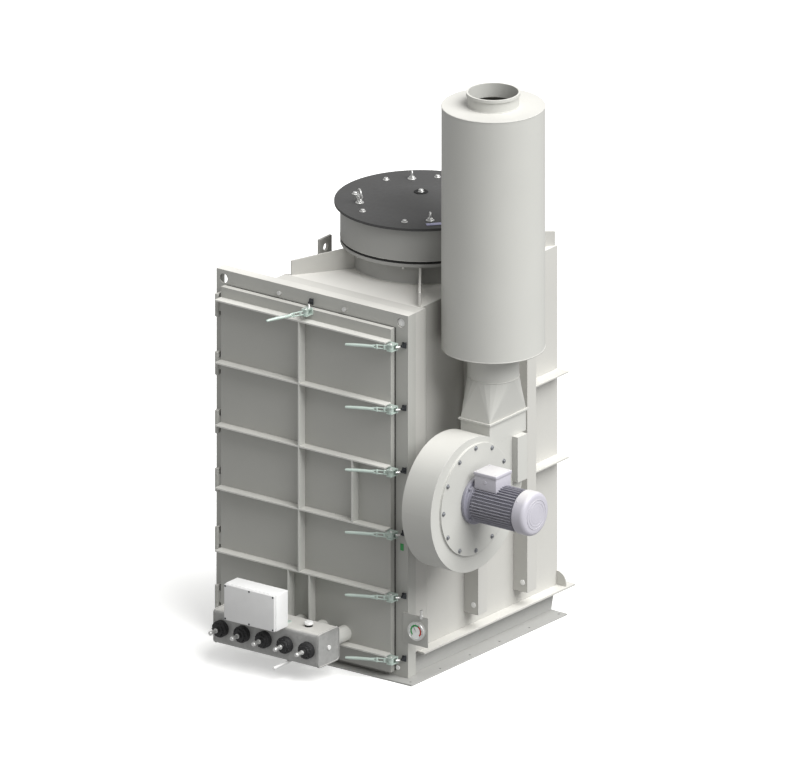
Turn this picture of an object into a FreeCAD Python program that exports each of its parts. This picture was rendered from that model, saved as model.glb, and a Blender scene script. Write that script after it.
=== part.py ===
import FreeCAD, Part
import math
import os
import re
import Sketcher

doc = FreeCAD.newDocument("BaghouseDustCollector")
sheet = doc.addObject("Spreadsheet::Sheet", "Sizes")

# Sizes in millimetres. X runs along the door face, -Y is the door side, Z is up,
# and the origin is the centre of the base flange's underside.
SIZES = (
    ("flange_overhang", 98),
    ("flange_half_depth", 655),
    ("flange_thickness", 8),
    ("anchor_radius", 7),
    ("anchor_inset", 33),
    ("anchor_count", 6),
    ("wall", 4),
    ("body_half_width", 408),
    ("body_front_inset", 133),
    ("body_back_overhang", 47),
    ("body_top", 1934),
    ("skirt_inset", 8),
    ("skirt_lean", 35),
    ("ledge_low", 120),
    ("ledge_thickness", 10),
    ("ledge_overhang", 67),
    ("ledge_front_inset", 18),
    ("ledge_back_overhang", 61),
    ("corner_reach", 57),
    ("corner_height", 75),
    ("chamber_overhang", 26),
    ("chamber_round", 75),
    ("chamber_flat", 67),
    ("frame_left", -759),
    ("frame_depth", 65),
    ("post_width", 96),
    ("beam_height", 75),
    ("sill_top", 108),
    ("lift_hole_radius", 24),
    ("lift_hole_inset", 45),
    ("lift_recess_depth", 12),
    ("stud_radius", 12),
    ("stud_height", 9),
    ("stud_left_x", -366),
    ("stud_right_x", 39),
    ("stud_drop", 48),
    ("rib_depth", 88),
    ("rib_width", 75),
    ("rib_low", 210),
    ("front_rib_lap", 2),
    ("front_rib_clearance", 22),
    ("rear_rib_y", 330),
    ("rear_rib_drop", 34),
    ("rib_hole_radius", 12.5),
    ("rib_hole_offset", 59),
    ("rib_hole_z", 259),
    ("flat_bar_depth", 72),
    ("bar_thickness", 8),
    ("upper_bar_z", 1270),
    ("lower_bar_z", 815),
    ("vent_y", 107),
    ("vent_neck_wall", 6),
    ("vent_flange_reach", 55),
    ("vent_side_inset", 3),
    ("vent_ring_wall", 6),
    ("vent_gasket_inset", 3),
    ("vent_neck_height", 109),
    ("vent_flange_thickness", 17),
    ("vent_gasket_thickness", 15),
    ("vent_ring_height", 172),
    ("vent_lid_overhang", 30),
    ("vent_lid_thickness", 13),
    ("vent_boss_radius", 25),
    ("vent_boss_height", 12),
    ("vent_bolt_inset", 95),
    ("vent_bolt_radius", 15),
    ("vent_bolt_height", 11),
    ("vent_eye_inset", 125),
    ("vent_eye_width", 44),
    ("vent_eye_height", 38),
    ("vent_eye_thickness", 12),
    ("label_length", 96),
    ("label_width", 30),
    ("label_thickness", 3),
    ("label_inset", 63),
    ("web_corner_height", 75),
    ("web_thickness", 12),
    ("web_corner_gap", 14),
    ("lug_front", -212),
    ("lug_back", -111),
    ("lug_height", 118),
    ("lug_thickness", 15),
    ("lug_hole_radius", 20),
    ("fan_setback", 107),
    ("fan_z", 1003),
    ("spigot_length", 152),
    ("scroll_width", 180),
    ("volute_back", 400),
    ("volute_front", 365),
    ("volute_top", 325),
    ("volute_bottom", 380),
    ("volute_throat_y", 130),
    ("volute_throat_z", 292),
    ("volute_outlet_z", 240),
    ("throat_round", 335),
    ("top_round", 333),
    ("front_round", 374),
    ("bottom_round", 390),
    ("stiffener_depth", 34),
    ("stiffener_width", 80),
    ("spigot_radius", 75),
    ("cover_radius", 290),
    ("cover_lap", 35),
    ("cover_thickness", 10),
    ("cover_bolt_inset", 18.5),
    ("cover_bolt_radius", 10),
    ("cover_bolt_height", 8),
    ("collar_overhang", 34),
    ("collar_height", 119),
    ("collar_lip", 10),
    ("transition_height", 199),
    ("duct_radius", 130),
    ("duct_wall", 4),
    ("silencer_radius", 260),
    ("duct_neck_height", 151),
    ("silencer_height", 1285),
    ("outlet_height", 71),
    ("outlet_lip", 6),
    ("outlet_lip_height", 16),
    ("motor_flange_reach", 27),
    ("motor_flange_thickness", 25),
    ("motor_core_radius", 98),
    ("motor_fin_height", 10),
    ("motor_fin_thickness", 5),
    ("motor_fin_count", 12),
    ("motor_fin_margin", 8),
    ("motor_length", 322),
    ("cowl_reach", 16),
    ("cowl_straight", 46),
    ("cowl_face_inset", 30),
    ("cowl_round", 22),
    ("terminal_offset", 44),
    ("terminal_length", 143),
    ("terminal_half_width", 67),
    ("terminal_height", 69),
    ("gauge_plate_lap", 30),
    ("gauge_plate_width", 156),
    ("gauge_plate_low", 197),
    ("gauge_plate_height", 159),
    ("gauge_plate_thickness", 4),
    ("gauge_margin", 60),
    ("gauge_z", 280),
    ("gauge_radius", 50),
    ("gauge_depth", 25),
    ("nipple_offset", 18),
    ("nipple_radius", 8),
    ("nipple_height", 34),
    ("door_clearance", 5),
    ("door_thickness", 32),
    ("door_skin", 4),
    ("door_rim", 26),
    ("door_left_margin", 55),
    ("door_lap", 16),
    ("door_low", 33),
    ("door_head_gap", 76),
    ("door_rib_depth", 51),
    ("door_rib_low", 130),
    ("door_head", 63),
    ("door_bar_x", -187),
    ("door_bar_left_x", -253),
    ("door_bar_right_x", -122),
    ("short_bar_depth", 21),
    ("hand_bar_x", 145),
    ("hinge_offset", 25),
    ("hinge_standoff", 33),
    ("hinge_low", 205),
    ("hinge_head", 103),
    ("knuckle_radius", 12),
    ("knuckle_half", 30),
    ("knuckle_end", 30),
    ("thrust_clearance", 0.3),
    ("leaf_thickness", 12),
    ("lever_overhang", 26),
    ("lever_standoff", 71),
    ("lever_drop", 19),
    ("lever_top_x", -150),
    ("lever_top_drop", 8),
    ("lever_reach", 215),
    ("lever_flare", 95),
    ("lever_half", 12),
    ("lever_edge", 8),
    ("lever_hub_radius", 14),
    ("ear_thickness", 6),
    ("ear_half_width", 16),
    ("bracket_thickness", 8),
    ("bracket_inner_reach", 60),
    ("bracket_outer_reach", 20),
    ("tank_left", -521),
    ("tank_right", 135),
    ("tank_depth", 175),
    ("tank_standoff", 173),
    ("tank_low", 95),
    ("tank_height", 178),
    ("tank_round", 18),
    ("tank_wall", 5),
    ("tank_end_inset", 3),
    ("valve_x", 70),
    ("valve_z", 184),
    ("valve_pitch", 134),
    ("valve_radius", 43),
    ("valve_depth", 40),
    ("pilot_radius", 12),
    ("pilot_length", 65),
    ("pulse_pipe_radius", 40),
    ("relief_x", 12),
    ("relief_inset", 83),
    ("relief_radius", 20),
    ("relief_height", 10),
    ("relief_cap_radius", 23),
    ("relief_cap_height", 14),
    ("plug_radius", 12),
    ("plug_length", 4),
    ("drain_x", -65),
    ("drain_radius", 8),
    ("drain_reach", 110),
    ("drain_inset", 35),
    ("box_left", -371),
    ("box_right", -53),
    ("box_depth", 117),
    ("box_low", 280),
    ("box_height", 195),
    ("box_lid_thickness", 16),
    ("box_lid_inset", 3),
    ("bracket_left", -330),
    ("bracket_right", -95),
    ("bracket_reach", 85),
    ("bracket_plate", 6),
    ("bracket_top", 455),
)

for row, (alias, value) in enumerate(SIZES, 1):
    sheet.set("A%d" % row, alias.replace("_", " "))
    sheet.set("B%d" % row, str(value))
    sheet.setAlias("B%d" % row, alias)
doc.recompute()

RIB_LEVELS = range(6)
TOP_LEVEL = RIB_LEVELS[-1]

# Places that follow from the sizes.
DERIVED = {
    "bracket_back": "(tank_front + bracket_reach)",
    "relief_y": "(tank_front + relief_inset)",
    "drain_end": "(tank_front - drain_reach)",
    "drain_start": "(tank_front + drain_inset)",
    "fan_y": "(frame_front + fan_setback)",
    "collar_front": "(fan_y + volute_throat_y)",
    "collar_back": "(fan_y + volute_back + collar_overhang)",
    "silencer_y": "((collar_front + collar_back) / 2)",
    "front_rib_y": "(fan_y + volute_back - front_rib_lap)",
    "flange_half_width": "(body_half_width + flange_overhang)",
    "body_front": "(body_front_inset - flange_half_depth)",
    "body_back": "(flange_half_depth + body_back_overhang)",
    "skirt_back_low": "(flange_half_depth - skirt_inset)",
    "skirt_back_high": "(skirt_back_low + skirt_lean)",
    "ledge_front": "(body_front + ledge_front_inset)",
    "ledge_back": "(body_back + ledge_back_overhang)",
    "vent_ring_radius": "(body_half_width - vent_side_inset)",
    "vent_neck_radius": "(vent_ring_radius - vent_flange_reach)",
    "vent_bore": "(vent_neck_radius - vent_neck_wall)",
    "vent_gasket_radius": "(vent_ring_radius - vent_gasket_inset)",
    "vent_lid_radius": "(vent_ring_radius + vent_lid_overhang)",
    "vent_bolt_circle": "(vent_lid_radius - vent_bolt_inset)",
    "vent_eye_circle": "(vent_lid_radius - vent_eye_inset)",
    "label_radius": "(vent_lid_radius - label_inset)",
    "door_rib_pitch": "((door_top - door_head - door_rib_low) / %d)" % TOP_LEVEL,
    "hinge_pitch": "((door_top - hinge_head - hinge_low) / %d)" % TOP_LEVEL,
    "impeller_opening_radius": "(cover_radius - cover_lap)",
    "cover_bolt_circle": "(cover_radius - cover_bolt_inset)",
    "motor_flange_radius": "(motor_core_radius + motor_flange_reach)",
    "motor_fin_radius": "(motor_core_radius + motor_fin_height)",
    "cowl_radius": "(motor_core_radius + cowl_reach)",
    "cowl_face_radius": "(cowl_radius - cowl_face_inset)",
    "terminal_top": "(fan_z + motor_fin_radius + terminal_height)",
    "box_top": "(box_low + box_height)",
    "gauge_plate_top": "(gauge_plate_low + gauge_plate_height)",
    "chamber_half_width": "(body_half_width + chamber_overhang)",
    "ledge_half_width": "(body_half_width + ledge_overhang)",
    "opening_half_width": "(chamber_half_width - post_width)",
    "rib_hole_x": "(body_half_width + rib_hole_offset)",
    "vent_flange_low": "(body_top + vent_neck_height)",
    "vent_gasket_low": "(vent_flange_low + vent_flange_thickness)",
    "vent_ring_low": "(vent_gasket_low + vent_gasket_thickness)",
    "vent_lid_low": "(vent_ring_low + vent_ring_height)",
    "web_neck_height": "vent_neck_height",
    "lug_top": "(body_top + lug_height)",
    "collar_top": "(fan_z + volute_outlet_z + collar_height)",
    "transition_top": "(collar_top + transition_height)",
    "silencer_low": "(transition_top + duct_neck_height)",
    "silencer_top": "(silencer_low + silencer_height)",
    "outlet_top": "(silencer_top + outlet_height)",
    "ledge_top": "(ledge_low + ledge_thickness)",
    "door_top": "(body_top - door_head_gap)",
    "front_rib_top": "(silencer_low - front_rib_clearance)",
    "rear_rib_top": "(body_top - rear_rib_drop)",
    "stud_z": "(body_top - stud_drop)",
    "lever_top_z": "(door_top - lever_top_drop)",
    "door_right": "(opening_half_width + door_lap)",
    "door_left": "(frame_left + door_left_margin)",
    "hinge_x": "(door_left - hinge_offset)",
    "lever_x": "(door_right + lever_overhang)",
    "frame_front": "(body_front - frame_depth)",
    "hinge_y": "(frame_front - hinge_standoff)",
    "lever_y": "(frame_front - lever_standoff)",
    "tank_top": "(tank_low + tank_height)",
    "tank_back": "(frame_front - tank_standoff)",
    "tank_front": "(tank_back - tank_depth)",
    "box_front": "(tank_front - box_depth)",
    "scroll_back": "(chamber_half_width + spigot_length)",
    "scroll_front": "(scroll_back + scroll_width)",
    "silencer_x": "((scroll_back + scroll_front) / 2)",
    "motor_end": "(scroll_front + motor_length)",
    "cowl_straight_end": "(motor_end + cowl_straight)",
    "cowl_end": "(cowl_straight_end + cowl_round)",
    "terminal_low_x": "(scroll_front + terminal_offset)",
    "terminal_high_x": "(terminal_low_x + terminal_length)",
    "gauge_plate_left": "(chamber_half_width - gauge_plate_lap)",
    "gauge_plate_right": "(gauge_plate_left + gauge_plate_width)",
    "gauge_x": "(gauge_plate_right - gauge_margin)",
    "nipple_x": "(gauge_x + nipple_offset)",
    "roof_front": "(body_front + chamber_flat)",
    "chamber_back": "(roof_front + chamber_round)",
}
NAME = re.compile(r"\b(?!sqrt\b)([a-z][a-z_]+)\b")
STRAIGHT = FreeCAD.Rotation()
TURNS = {
    "x": FreeCAD.Rotation(FreeCAD.Vector(0, 1, 0), 90),
    "y": FreeCAD.Rotation(FreeCAD.Vector(1, 0, 0), -90),
    "z": STRAIGHT,
}
VALVES = range(5)
SIDES = (("left", -1), ("right", 1))


def cell(text):
    text = str(text)
    while any(word in DERIVED for word in NAME.findall(text)):
        text = NAME.sub(lambda found: DERIVED.get(found.group(1), found.group(1)), text)
    return NAME.sub(r"Sizes.\1", text)


def size(text):
    return float(sheet.evalExpression(cell(text)))


def place(item, turn, x, y, z):
    item.Placement = FreeCAD.Placement(FreeCAD.Vector(0, 0, 0), turn)
    for axis, text in zip("xyz", (x, y, z)):
        item.setExpression("Placement.Base." + axis, cell(text))


def block(label, x, y, z):
    item = doc.addObject("Part::Box", label)
    for side, (low, high) in (("Length", x), ("Width", y), ("Height", z)):
        item.setExpression(side, cell("(%s) - (%s)" % (high, low)))
    place(item, STRAIGHT, x[0], y[0], z[0])
    return item


def rod(label, axis, radius, centre, low, high):
    item = doc.addObject("Part::Cylinder", label)
    item.setExpression("Radius", cell(radius))
    item.setExpression("Height", cell("(%s) - (%s)" % (high, low)))
    spot = list(centre)
    spot.insert("xyz".index(axis), low)
    place(item, TURNS[axis], *spot)
    return item


def facets(label, axis, sides, radius, centre, low, height):
    item = doc.addObject("Part::Prism", label)
    item.Polygon = sides
    item.setExpression("Circumradius", cell(radius))
    item.setExpression("Height", cell(height))
    spot = list(centre)
    spot.insert("xyz".index(axis), low)
    place(item, TURNS[axis], *spot)
    return item


def hexagon(label, axis, radius, centre, low, height):
    return facets(label, axis, 6, radius, centre, low, height)


def tube(label, radius, bore, centre, low, high):
    outer = rod(label + "_outer", "z", radius, centre, low, high)
    inner = rod(label + "_inner", "z", bore, centre, low, high)
    return cut(label, outer, inner)


def cut(label, base, tool):
    item = doc.addObject("Part::Cut", label)
    item.Base = base
    item.Tool = tool
    return item


def cut_all(label, base, tools):
    holes = group(label + "_holes", tools)
    return cut(label, base, holes)


def fuse(label, items):
    item = doc.addObject("Part::MultiFuse", label)
    item.Shapes = items
    item.Refine = True
    return item


def group(label, items):
    item = doc.addObject("Part::Compound", label)
    item.Links = items
    return item


def datum(item, role):
    return next(part for part in item.Origin.OriginFeatures if part.Role == role)


def sketch(item, name, plane, offset="0"):
    profile = item.newObject("Sketcher::SketchObject", name)
    profile.AttachmentSupport = [(datum(item, plane), "")]
    profile.MapMode = "FlatFace"
    profile.setExpression("AttachmentOffset.Base.z", cell(offset))
    return profile


def dimension(profile, constraint, text):
    index = profile.addConstraint(constraint)
    profile.setExpression("Constraints[%d]" % index, cell(text))


def pin(profile, edge, end, x, y):
    dimension(profile, Sketcher.Constraint("DistanceX", -1, 1, edge, end, size(x)), x)
    dimension(profile, Sketcher.Constraint("DistanceY", -1, 1, edge, end, size(y)), y)


def bow(start, end, radius):
    run = end - start
    rise = math.sqrt(max(0, radius ** 2 - run.Length ** 2 / 4))
    side = FreeCAD.Vector(-run.y, run.x, 0).normalize()
    centre = (start + end) * 0.5 + side * rise
    first = math.atan2(start.y - centre.y, start.x - centre.x)
    last = math.atan2(end.y - centre.y, end.x - centre.x)
    if last < first:
        last += 2 * math.pi
    return Part.ArcOfCircle(Part.Circle(centre, FreeCAD.Vector(0, 0, 1), radius), first, last)


def outline(profile, points, arcs=None):
    arcs = arcs or {}
    first = profile.GeometryCount
    spots = [FreeCAD.Vector(size(x), size(y), 0) for x, y in points]
    count = len(spots)
    for number, spot in enumerate(spots):
        after = spots[(number + 1) % count]
        if number in arcs:
            profile.addGeometry(bow(spot, after, size(arcs[number])), False)
        else:
            profile.addGeometry(Part.LineSegment(spot, after), False)
    for number, (x, y) in enumerate(points):
        here = first + number
        before = first + (number - 1) % count
        profile.addConstraint(Sketcher.Constraint("Coincident", before, 2, here, 1))
        pin(profile, here, 1, x, y)
        if number in arcs:
            radius = arcs[number]
            dimension(profile, Sketcher.Constraint("Radius", here, size(radius)), radius)


def circle(profile, x, y, radius):
    centre = FreeCAD.Vector(size(x), size(y), 0)
    edge = profile.addGeometry(Part.Circle(centre, FreeCAD.Vector(0, 0, 1), size(radius)), False)
    pin(profile, edge, 3, x, y)
    dimension(profile, Sketcher.Constraint("Radius", edge, size(radius)), radius)


def rectangle(low_x, high_x, low_y, high_y):
    return ((low_x, low_y), (high_x, low_y), (high_x, high_y), (low_x, high_y))


def pad(item, name, profile, length):
    step = item.newObject("PartDesign::Pad", name)
    step.Profile = profile
    step.setExpression("Length", cell(length))
    item.Tip = step
    return step


def pocket(item, name, profile, depth, reverse):
    step = item.newObject("PartDesign::Pocket", name)
    step.Profile = profile
    step.setExpression("Length", cell(depth))
    step.Reversed = reverse
    item.Tip = step
    return step


def plate(label, plane, points, low, high, arcs=None):
    item = doc.addObject("PartDesign::Body", label)
    start = "-(%s)" % high if plane == "XZ_Plane" else low
    profile = sketch(item, label + "_outline", plane, start)
    outline(profile, points, arcs)
    pad(item, label + "_pad", profile, "(%s) - (%s)" % (high, low))
    return item


def turned(label, plane, axis, points):
    item = doc.addObject("PartDesign::Body", label)
    profile = sketch(item, label + "_outline", plane)
    outline(profile, points)
    step = item.newObject("PartDesign::Revolution", label + "_turn")
    step.Profile = profile
    step.ReferenceAxis = (profile, [axis])
    step.Angle = 360
    item.Tip = step
    return item


def around(centre, radius, angle):
    x = "%s + %s * (%.6f)" % (centre[0], radius, math.cos(math.radians(angle)))
    y = "%s + %s * (%.6f)" % (centre[1], radius, math.sin(math.radians(angle)))
    return x, y


def rib_z(level):
    return "door_rib_low + door_rib_pitch * %d" % level


nodes = []


def node(item):
    nodes.append(item)
    return item


# Base flange with two rows of anchor holes.
base = doc.addObject("PartDesign::Body", "base_flange")
ring = sketch(base, "flange_outline", "XY_Plane")
outline(ring, rectangle("-flange_half_width", "flange_half_width",
                        "-flange_half_depth", "flange_half_depth"))
outline(ring, rectangle("wall - body_half_width", "body_half_width - wall",
                        "body_front + wall", "skirt_back_low - wall"))
solid_ring = pad(base, "flange_pad", ring, "flange_thickness")
anchors = sketch(base, "anchor_circles", "XY_Plane")
for side, sign in SIDES:
    circle(anchors, "%d * (flange_half_width - anchor_inset)" % sign,
           "anchor_inset - flange_half_depth", "anchor_radius")
anchor_pair = pocket(base, "anchor_pair", anchors, "flange_thickness", True)
doc.recompute()
if not anchor_pair.Shape.Volume < solid_ring.Shape.Volume:
    raise RuntimeError("the anchor holes cut nothing")
anchor_row = base.newObject("PartDesign::LinearPattern", "anchor_row")
anchor_row.Originals = [anchor_pair]
anchor_row.Direction = (datum(base, "Y_Axis"), [""])
anchor_row.setExpression("Length", cell("2 * (flange_half_depth - anchor_inset)"))
anchor_row.setExpression("Occurrences", cell("anchor_count"))
base.Tip = anchor_row
node(base)

# Skirt between the base flange and the ledge, its back wall leaning outwards.
skirt_inner = (("body_front + wall", "flange_thickness"), ("skirt_back_low - wall", "flange_thickness"),
               ("skirt_back_high - wall", "ledge_low"), ("body_front + wall", "ledge_low"))
skirt_plates = [
    block("skirt_front", ("-body_half_width", "body_half_width"), ("body_front", "body_front + wall"),
          ("flange_thickness", "ledge_top")),
    plate("skirt_left", "YZ_Plane", skirt_inner, "-body_half_width", "wall - body_half_width"),
    plate("skirt_right", "YZ_Plane", skirt_inner, "body_half_width - wall", "body_half_width"),
    plate("skirt_back", "YZ_Plane",
          (("skirt_back_low - wall", "flange_thickness"), ("skirt_back_low", "flange_thickness"),
           ("skirt_back_high", "ledge_low"), ("skirt_back_high - wall", "ledge_low")),
          "-body_half_width", "body_half_width"),
]
node(group("skirt", skirt_plates))

# Ledge that carries the body, with a small plate at each back corner.
ledge_rim = plate("ledge_rim", "XY_Plane",
                  (("-ledge_half_width", "ledge_front"), ("wall - body_half_width", "ledge_front"),
                   ("wall - body_half_width", "body_back - wall"),
                   ("body_half_width - wall", "body_back - wall"),
                   ("body_half_width - wall", "ledge_front"), ("ledge_half_width", "ledge_front"),
                   ("ledge_half_width", "ledge_back"), ("-ledge_half_width", "ledge_back")),
                  "ledge_low", "ledge_top")
corner_right = plate("corner_right", "XZ_Plane",
                     (("body_half_width", "ledge_top"), ("body_half_width + corner_reach", "ledge_top"),
                      ("body_half_width + corner_reach", "ledge_top + corner_height - corner_reach"),
                      ("body_half_width", "ledge_top + corner_height")),
                     "body_back - bar_thickness", "body_back", {2: "corner_reach"})
corner_left = plate("corner_left", "XZ_Plane",
                    (("-body_half_width - corner_reach", "ledge_top"), ("-body_half_width", "ledge_top"),
                     ("-body_half_width", "ledge_top + corner_height"),
                     ("-body_half_width - corner_reach", "ledge_top + corner_height - corner_reach")),
                    "body_back - bar_thickness", "body_back", {2: "corner_reach"})
node(group("ledge", [ledge_rim, corner_right, corner_left]))

# Body walls and roof.
node(block("wall_left", ("-body_half_width", "wall - body_half_width"), ("roof_front", "body_back"),
           ("ledge_top", "body_top - wall")))
node(block("wall_right", ("body_half_width - wall", "body_half_width"), ("roof_front", "body_back"),
           ("ledge_top", "body_top - wall")))
node(block("wall_back", ("wall - body_half_width", "body_half_width - wall"),
           ("body_back - wall", "body_back"), ("ledge_top", "body_top - wall")))
roof_sheet = block("roof_sheet", ("-body_half_width", "body_half_width"), ("roof_front", "body_back"),
                   ("body_top - wall", "body_top"))
roof_opening = rod("roof_opening", "z", "vent_bore", ("0", "vent_y"), "body_top - wall", "body_top")
node(cut("roof_plate", roof_sheet, roof_opening))

# Clean-air chamber behind the door frame, its back edges rounded.
chamber_plan = plate("chamber_plan", "XY_Plane",
                     (("chamber_half_width", "body_front"), ("chamber_half_width", "roof_front"),
                      ("chamber_half_width - chamber_round", "chamber_back"),
                      ("chamber_round - chamber_half_width", "chamber_back"),
                      ("-chamber_half_width", "roof_front"), ("-chamber_half_width", "body_front")),
                     "ledge_top", "body_top", {1: "chamber_round", 3: "chamber_round"})
chamber_profile = plate("chamber_profile", "YZ_Plane",
                        (("body_front", "ledge_top"), ("chamber_back", "ledge_top"),
                         ("chamber_back", "body_top - chamber_round"), ("roof_front", "body_top"),
                         ("body_front", "body_top")),
                        "-chamber_half_width", "chamber_half_width", {2: "chamber_round"})
chamber_solid = doc.addObject("Part::MultiCommon", "chamber_solid")
chamber_solid.Shapes = [chamber_plan, chamber_profile]
chamber_space = block("chamber_space", ("wall - chamber_half_width", "chamber_half_width - wall"),
                      ("body_front", "roof_front"), ("ledge_top", "body_top - wall"))
body_space = block("body_space", ("-body_half_width", "body_half_width"), ("roof_front", "chamber_back"),
                   ("ledge_top", "body_top"))
node(cut_all("chamber_shell", chamber_solid, [chamber_space, body_space]))

# Door frame: two folded posts, a top beam and a sill, all open at the back.
lift_z = "body_top - lift_hole_inset"
left_post = block("left_post_bar", ("frame_left", "frame_left + post_width"), ("frame_front", "body_front"),
                  ("flange_thickness", "body_top"))
left_hollow = block("left_post_hollow", ("frame_left + wall", "frame_left + post_width - wall"),
                    ("frame_front + wall", "body_front"), ("flange_thickness + wall", "body_top - wall"))
left_eye = rod("left_post_eye", "y", "lift_hole_radius", ("frame_left + lift_hole_inset", lift_z),
               "frame_front", "body_front")
node(cut_all("frame_left_post", left_post, [left_hollow, left_eye]))
right_post = block("right_post_bar", ("chamber_half_width - post_width", "chamber_half_width"),
                   ("frame_front", "body_front"), ("flange_thickness", "body_top"))
right_hollow = block("right_post_hollow", ("chamber_half_width - post_width + wall",
                                           "chamber_half_width - wall"),
                     ("frame_front + wall", "body_front"),
                     ("flange_thickness + wall", "body_top - 2 * lift_hole_inset"))
right_eye = rod("right_post_eye", "y", "lift_hole_radius", ("chamber_half_width - lift_hole_inset", lift_z),
                "frame_front", "frame_front + lift_recess_depth")
node(cut_all("frame_right_post", right_post, [right_hollow, right_eye]))
beam_x = ("frame_left + post_width", "chamber_half_width - post_width")
top_bar = block("top_beam_bar", beam_x, ("frame_front", "body_front"),
                ("body_top - beam_height", "body_top"))
top_hollow = block("top_beam_hollow", beam_x, ("frame_front + wall", "body_front"),
                   ("body_top - beam_height + wall", "body_top - wall"))
node(cut("frame_top_beam", top_bar, top_hollow))
sill_bar = block("sill_bar", beam_x, ("frame_front", "body_front"), ("flange_thickness", "sill_top"))
sill_hollow = block("sill_hollow", beam_x, ("frame_front + wall", "body_front"),
                    ("flange_thickness + wall", "sill_top - wall"))
node(cut("frame_sill", sill_bar, sill_hollow))
node(block("blanking_plate", ("frame_left + post_width", "-opening_half_width"),
           ("body_front - wall", "body_front"), ("sill_top", "body_top - beam_height")))
node(group("frame_studs", [
    hexagon("stud_left", "y", "stud_radius", ("stud_left_x", "stud_z"),
            "frame_front - stud_height", "stud_height"),
    hexagon("stud_right", "y", "stud_radius", ("stud_right_x", "stud_z"),
            "frame_front - stud_height", "stud_height"),
]))

# Upright box ribs and level flat bars on both side walls.
wall_ribs = []
wall_bars = []
for side, sign in SIDES:
    if sign > 0:
        depth = ("body_half_width", "body_half_width + rib_depth")
        bar = ("body_half_width", "body_half_width + flat_bar_depth")
    else:
        depth = ("-body_half_width - rib_depth", "-body_half_width")
        bar = ("-body_half_width - flat_bar_depth", "-body_half_width")
    for name, start, top in (("front", "front_rib_y", "front_rib_top"),
                             ("rear", "rear_rib_y", "rear_rib_top")):
        label = "%s_rib_%s" % (name, side)
        folded = block(label + "_box", depth, (start, start + " + rib_width"), ("rib_low", top))
        inside = ("body_half_width", "body_half_width + rib_depth - wall")
        if sign < 0:
            inside = ("wall - body_half_width - rib_depth", "-body_half_width")
        fold = block(label + "_fold", inside, (start + " + wall", start + " + rib_width - wall"),
                     ("rib_low + wall", top + " - wall"))
        hole = facets(label + "_hole", "y", 16, "rib_hole_radius", ("%d * rib_hole_x" % sign, "rib_hole_z"),
                      start, "wall")
        wall_ribs.append(cut_all(label, folded, [fold, hole]))
    wall_bars += [
        block("%s_bar_%s" % (name, side), bar, ("rear_rib_y + rib_width", "body_back"),
              (level, level + " + bar_thickness"))
        for name, level in (("upper", "upper_bar_z"), ("lower", "lower_bar_z"))
    ]
node(group("wall_ribs", wall_ribs))
node(group("wall_bars", wall_bars))

# Explosion vent on the roof.
vent = ("0", "vent_y")
vent_lid_top = "vent_lid_low + vent_lid_thickness"
neck_tube = tube("vent_neck_tube", "vent_neck_radius", "vent_bore", vent, "body_top", "vent_flange_low")
neck_flange = tube("vent_neck_flange", "vent_ring_radius", "vent_bore", vent,
                   "vent_flange_low", "vent_gasket_low")
node(fuse("vent_neck", [neck_tube, neck_flange]))
node(tube("vent_gasket", "vent_gasket_radius", "vent_bore", vent, "vent_gasket_low", "vent_ring_low"))
node(tube("vent_ring", "vent_ring_radius", "vent_ring_radius - vent_ring_wall", vent, "vent_ring_low",
          "vent_lid_low"))
lid_disc = rod("vent_lid_disc", "z", "vent_lid_radius", vent, "vent_lid_low", vent_lid_top)
lid_boss = rod("vent_lid_boss", "z", "vent_boss_radius", vent, vent_lid_top,
               vent_lid_top + " + vent_boss_height")
node(fuse("vent_lid", [lid_disc, lid_boss]))
node(group("vent_bolts", [
    hexagon("vent_bolt_%d" % number, "z", "vent_bolt_radius",
            around(vent, "vent_bolt_circle", 22.5 + 45 * number), vent_lid_top, "vent_bolt_height")
    for number in range(8)
]))
eyes = []
for number in range(4):
    angle = 45 + 90 * number
    eye = plate("vent_eye_%d" % number, "XZ_Plane",
                rectangle("-vent_eye_width / 2", "vent_eye_width / 2", "0", "vent_eye_height"),
                "-vent_eye_thickness / 2", "vent_eye_thickness / 2")
    x, y = around(vent, "vent_eye_circle", angle)
    place(eye, FreeCAD.Rotation(FreeCAD.Vector(0, 0, 1), angle), x, y, vent_lid_top)
    eyes.append(eye)
node(group("vent_eyes", eyes))
label_plate = plate("label_plate", "XY_Plane",
                    rectangle("-label_width / 2", "label_width / 2",
                              "-label_length / 2", "label_length / 2"),
                    "0", "label_thickness")
x, y = around(vent, "label_radius", -42)
place(label_plate, FreeCAD.Rotation(FreeCAD.Vector(0, 0, 1), -42), x, y, vent_lid_top)
node(label_plate)

# Four webs from the roof corners to the vent neck.
webs = []
for name, corner_y in (("front", "roof_front"), ("rear", "body_back")):
    reach = "(sqrt(body_half_width ^ 2 + (%s - vent_y) ^ 2) - web_corner_gap)" % corner_y
    for side, sign in SIDES:
        angle = math.degrees(math.atan2(size(corner_y) - size("vent_y"), sign * size("body_half_width")))
        web = plate("web_%s_%s" % (name, side), "XZ_Plane",
                    (("vent_neck_radius", "0"), (reach, "0"), (reach, "web_corner_height"),
                     ("vent_ring_radius", "web_neck_height"), ("vent_neck_radius", "web_neck_height")),
                    "-web_thickness / 2", "web_thickness / 2")
        place(web, FreeCAD.Rotation(FreeCAD.Vector(0, 0, 1), angle), "0", "vent_y", "body_top")
        webs.append(web)
node(group("roof_webs", webs))

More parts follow.
